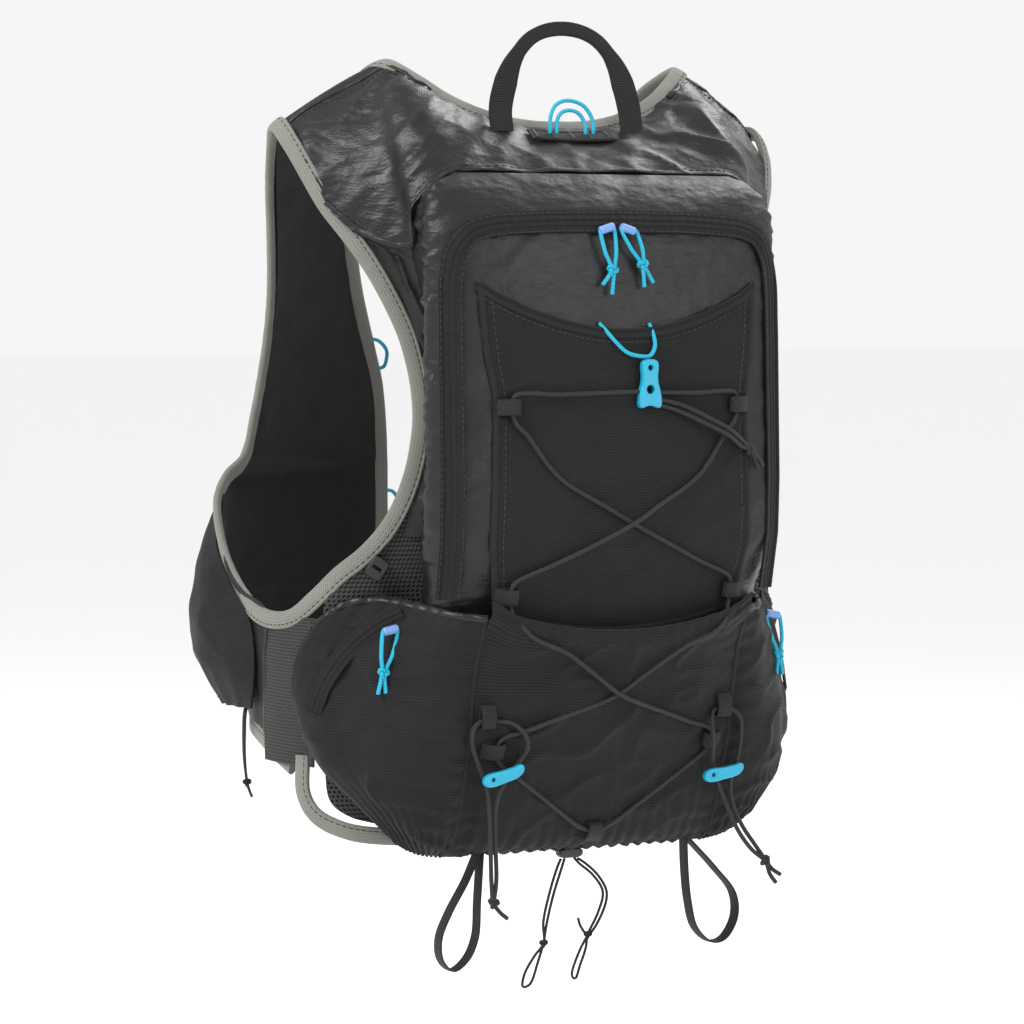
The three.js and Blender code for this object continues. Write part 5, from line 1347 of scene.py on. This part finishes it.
LACE_LOOPS = {
    "upper": ((-78, -75.8, -174), (0.977, -0.213, 0), (0, 0, 1)),
    "middle": ((-77, -70.8, -278), (0.98, -0.196, 0), (0, -0.27, 0.963)),
    "low": ((-75, -51, -365), (0.965, -0.263, 0), (0, -0.36, 0.933)),
    "clip": ((-76, -57.2, -341), (0, 0.18, -0.98), (1, 0, 0)),
    "bottom": ((0, -37, -420), (0, -0.533, 0.846), (1, 0, 0)),
}


def lace_loop(name, foot, toward, along, nodes, mirror=False):
    """Webbing folded round the lacing, with both ends in the seam."""
    reach, side = Vector(toward).normalized(), Vector(along)
    away = side.cross(reach).normalized()
    if away.y > 0:
        away.negate()
    # Between its two layers lie the lacing and a little air
    high = 1.8 + 3.4
    fold = [
        (-1.5, 0.6), (4.4, 0.6), (9, 0.7), (10.9, 1.4), (11.3, high * 0.5), (10.9, high - 0.9),
        (9, high - 0.1), (4.4, high - 0.4), (-1.5, high * 0.45)]
    line = Line([Vector(foot) + reach * far + away * (up + 0.3) for far, up in fold])

    def frame_at(share, _centre):
        return side.cross(line.tangent(share)), side
    section = flat_section(4.5, 0.6, 0.45, 14)
    tube(name, line, lambda _share: section, frame_at, 40, WEB, nodes, mirror, 20)


for key, (foot, toward, along) in LACE_LOOPS.items():
    for side, mirror in SIDES if key != "bottom" else (("", False),):
        name = f"lace_loop_{key}_{side}".rstrip("_")
        lace_loop(f"{name}_web", foot, toward, along, (name,), mirror)


def hanging_web(node, points):
    line = Line(points)
    section = flat_section(4.6, 0.65, 0.45, 14)

    def frame_at(share, _centre):
        side = Vector((0, 1, 0))
        return side.cross(line.tangent(share)).normalized(), side
    tube(f"{node}_web", line, lambda _share: section, frame_at, 130, WEB, (node,), around=20)


hanging_web("axe_loop_left", [
    (-62.5, -20, -427.3), (-70, -20, -443), (-81, -20, -461), (-87, -20, -475), (-86, -20, -487),
    (-79, -20, -493.5), (-70, -20, -488), (-64, -20, -476), (-62.5, -20, -455), (-60.6, -20, -427.3)])
hanging_web("axe_loop_right", [
    (72.6, -20, -427.4), (73.5, -20, -447), (75.5, -20, -464), (80, -20, -480), (90, -20, -489),
    (99, -20, -488), (107, -20, -476), (106, -20, -462), (93, -20, -446), (74.6, -20, -427.4)])

# Cords that go back into the vest
rope("neck_cord_outer_braid", [
    [-13, -11.6, -22.5], [-13, -15, -20.5], [-12.5, -14.5, -12], [-8.5, -13.5, -4.6],
    [0, -12.5, -1.8], [9.5, -13.5, -4.6], [14.5, -14.5, -12], [15, -15, -20.5], [15, -11.6, -22.5],
], *BLUE_CORD, ("neck_cord_outer",))
rope("neck_cord_inner_braid", [
    [-9, -11.6, -23], [-9, -15, -21], [-8, -14.5, -13], [-4.5, -13.8, -8.6],
    [0.5, -13.5, -7.4], [5.5, -13.8, -8.6], [9, -14.5, -13], [10, -15, -21], [10, -11.6, -23],
], *BLUE_CORD, ("neck_cord_inner",))
rope("hook_cord_braid", [
    [-16, -77.6, -128], [-13, -80, -132], [-8, -82.6, -138.5], [-1, -83.4, -144.4],
    [7, -84, -146.4], [13, -84, -146.2], [16.8, -83, -141], [17, -80.6, -134], [16, -77.8, -128.4],
], *BLUE_CORD, ("hook_cord",))
lace_route = [(5.2, -84.9, -166.0)] + [(-p["x"], p["y"], p["z"]) for p in LACE_HALF] + [(0, -43.7, -415.4)]
lace_route += [(p["x"], p["y"] - p["over"], p["z"]) for p in LACE_HALF[::-1]]
rope("lace_cord_braid", lace_route, *LACE_CORD, ("lace_cord",))


def zip_pull(node, top, centre, tails, lean, mirror=False):
    """A sleeve on the slider, a cord folded through it, a knot and two tails."""
    top, centre = Vector(top), Vector(centre)
    axis = Vector((math.cos(lean), 0, math.sin(lean)))
    sleeve = Line([top + axis * x for x in (-4.6, -2, 0, 2, 4.6)])

    def section(share):
        end = min(share, 1 - share)
        return circle(2.35 * min(1, 0.72 + end * 5) + 0.12 * math.cos(share * 50), 16)
    tube(f"{node}_sleeve", sleeve, section, carried(sleeve, 30), 30, SLEEVE, (node,),
         mirror, 14)
    for k, side in enumerate((-1, 1)):
        hung = top + Vector((side * 4.2, 0, 0.2))
        low = centre + Vector((side * 0.9, 0, 0))
        bend = hung.lerp(low, 0.55) + Vector((side * 1.2, -0.6, 0))
        route = [top + axis * side * 3, hung, bend, low, Vector(tails[k])]
        rope(f"{node}_cord_{k}", route, *BLUE_CORD, (node,), mirror)
    knot(f"{node}_knot", centre, 4.0, *BLUE_CORD, mirror, turn=lean)


zip_pull("zip_pull_main_left", (-11, -77.4, -75.5), (-8.4, -79.6, -98.5),
         [(-14.4, -79, -106.8), (-8.5, -79.2, -112)], 0.3)
zip_pull("zip_pull_main_right", (2.5, -77.4, -75.8), (11.1, -79.4, -95.6),
         [(12.2, -79.2, -107.9), (18, -78.8, -105.5)], -0.3)
for side, mirror in SIDES:
    zip_pull(f"zip_pull_wing_{side}", (-124, -34.4, -298), (-128.5, -34.7, -321.6),
             [(-131.5, -33.7, -333.5), (-127, -34.3, -333)], 0.2, mirror)
front_edge = Line(edge_points)


def edge_spot(z):
    spots = [front_edge.point(0.35 + 0.65 * k / 600) for k in range(601)]
    return min(spots, key=lambda spot: abs(spot.z - z))


for side, mirror in SIDES:
    for name, high_z, low_z in (("upper", -139, -157), ("lower", -232, -248)):
        inset = Vector((4.2, 0, 0))
        high, low = edge_spot(high_z) + inset, edge_spot(low_z) + inset
        middle = high.lerp(low, 0.5)
        rope(f"edge_loop_{name}_{side}_braid", [
            high, high + Vector((4.1, 0, -1)), middle + Vector((7.5, 0, 2)), middle + Vector((7.5, 0, -3)),
            low + Vector((3.4, 0, 1)), low], *BLUE_CORD, (f"edge_loop_{name}_{side}",), mirror)
    box = [(-4, -6), (4, -6), (5, -4.4), (5, 4.4), (4, 6), (-4, 6), (-5, 4.4), (-5, -4.4)]
    window = [(-3, -1.2), (3, -1.2), (3, 1.2), (-3, 1.2)]
    plate(f"strap_buckle_{side}_body", rounded(box, 1), [window], 3, (-119.9, -8.6, -265.1), DARK,
          f"strap_buckle_{side}", tilt=0.6, yaw=-0.3, bevel=0.6, mirror=mirror)
lock_outline = rounded([(-7.5, -2.5), (7.5, -2.5), (7.5, 2.5), (-7.5, 2.5)])
plate("hem_toggle_body", lock_outline, [], 6, (-1.5, -14.5, -431.6), DARK, "hem_toggle",
      bevel=1.2)


# Floor, light and world
FLOOR_HALF, FLOOR_Z = 30, -0.62
floor_data = bpy.data.meshes.new("floor")
floor_data.from_pydata(
    [(x * FLOOR_HALF, y * FLOOR_HALF, FLOOR_Z) for x, y in ((-1, -1), (1, -1), (1, 1), (-1, 1))],
    [], [(0, 1, 2, 3)])
floor_tree = Tree("floor_paper")
set_inputs(floor_tree.shader, Base_Color=(0.97, 0.97, 0.97, 1), Roughness=0.9)
floor_data.materials.append(floor_tree.material)
floor = add_object("floor", floor_data)

world = bpy.data.worlds.new("studio")
world.use_nodes = True
set_inputs(world.node_tree.nodes["Background"], Color=(1, 1, 1, 1), Strength=0.92)
bpy.context.scene.world = world
bpy.context.scene.view_settings.view_transform = "Standard"


def area_light(name, across, back, up, size, power):
    data = bpy.data.lights.new(name, "AREA")
    data.size = size
    data.energy = power
    lamp = add_object(name, data)
    lamp.location = cam_right * across + cam_back * back + Vector((0, 0, up))
    aim = Vector((0, 0, -0.22)) - lamp.location
    lamp.rotation_mode = "QUATERNION"
    lamp.rotation_quaternion = aim.to_track_quat("-Z", "Y")


area_light("key", -1.3, 1.2, 1.2, 0.8, 44)
area_light("fill", 1.6, 1.3, 0.2, 1.0, 10)
area_light("rim", 0.9, -1.2, 1.3, 0.8, 18)
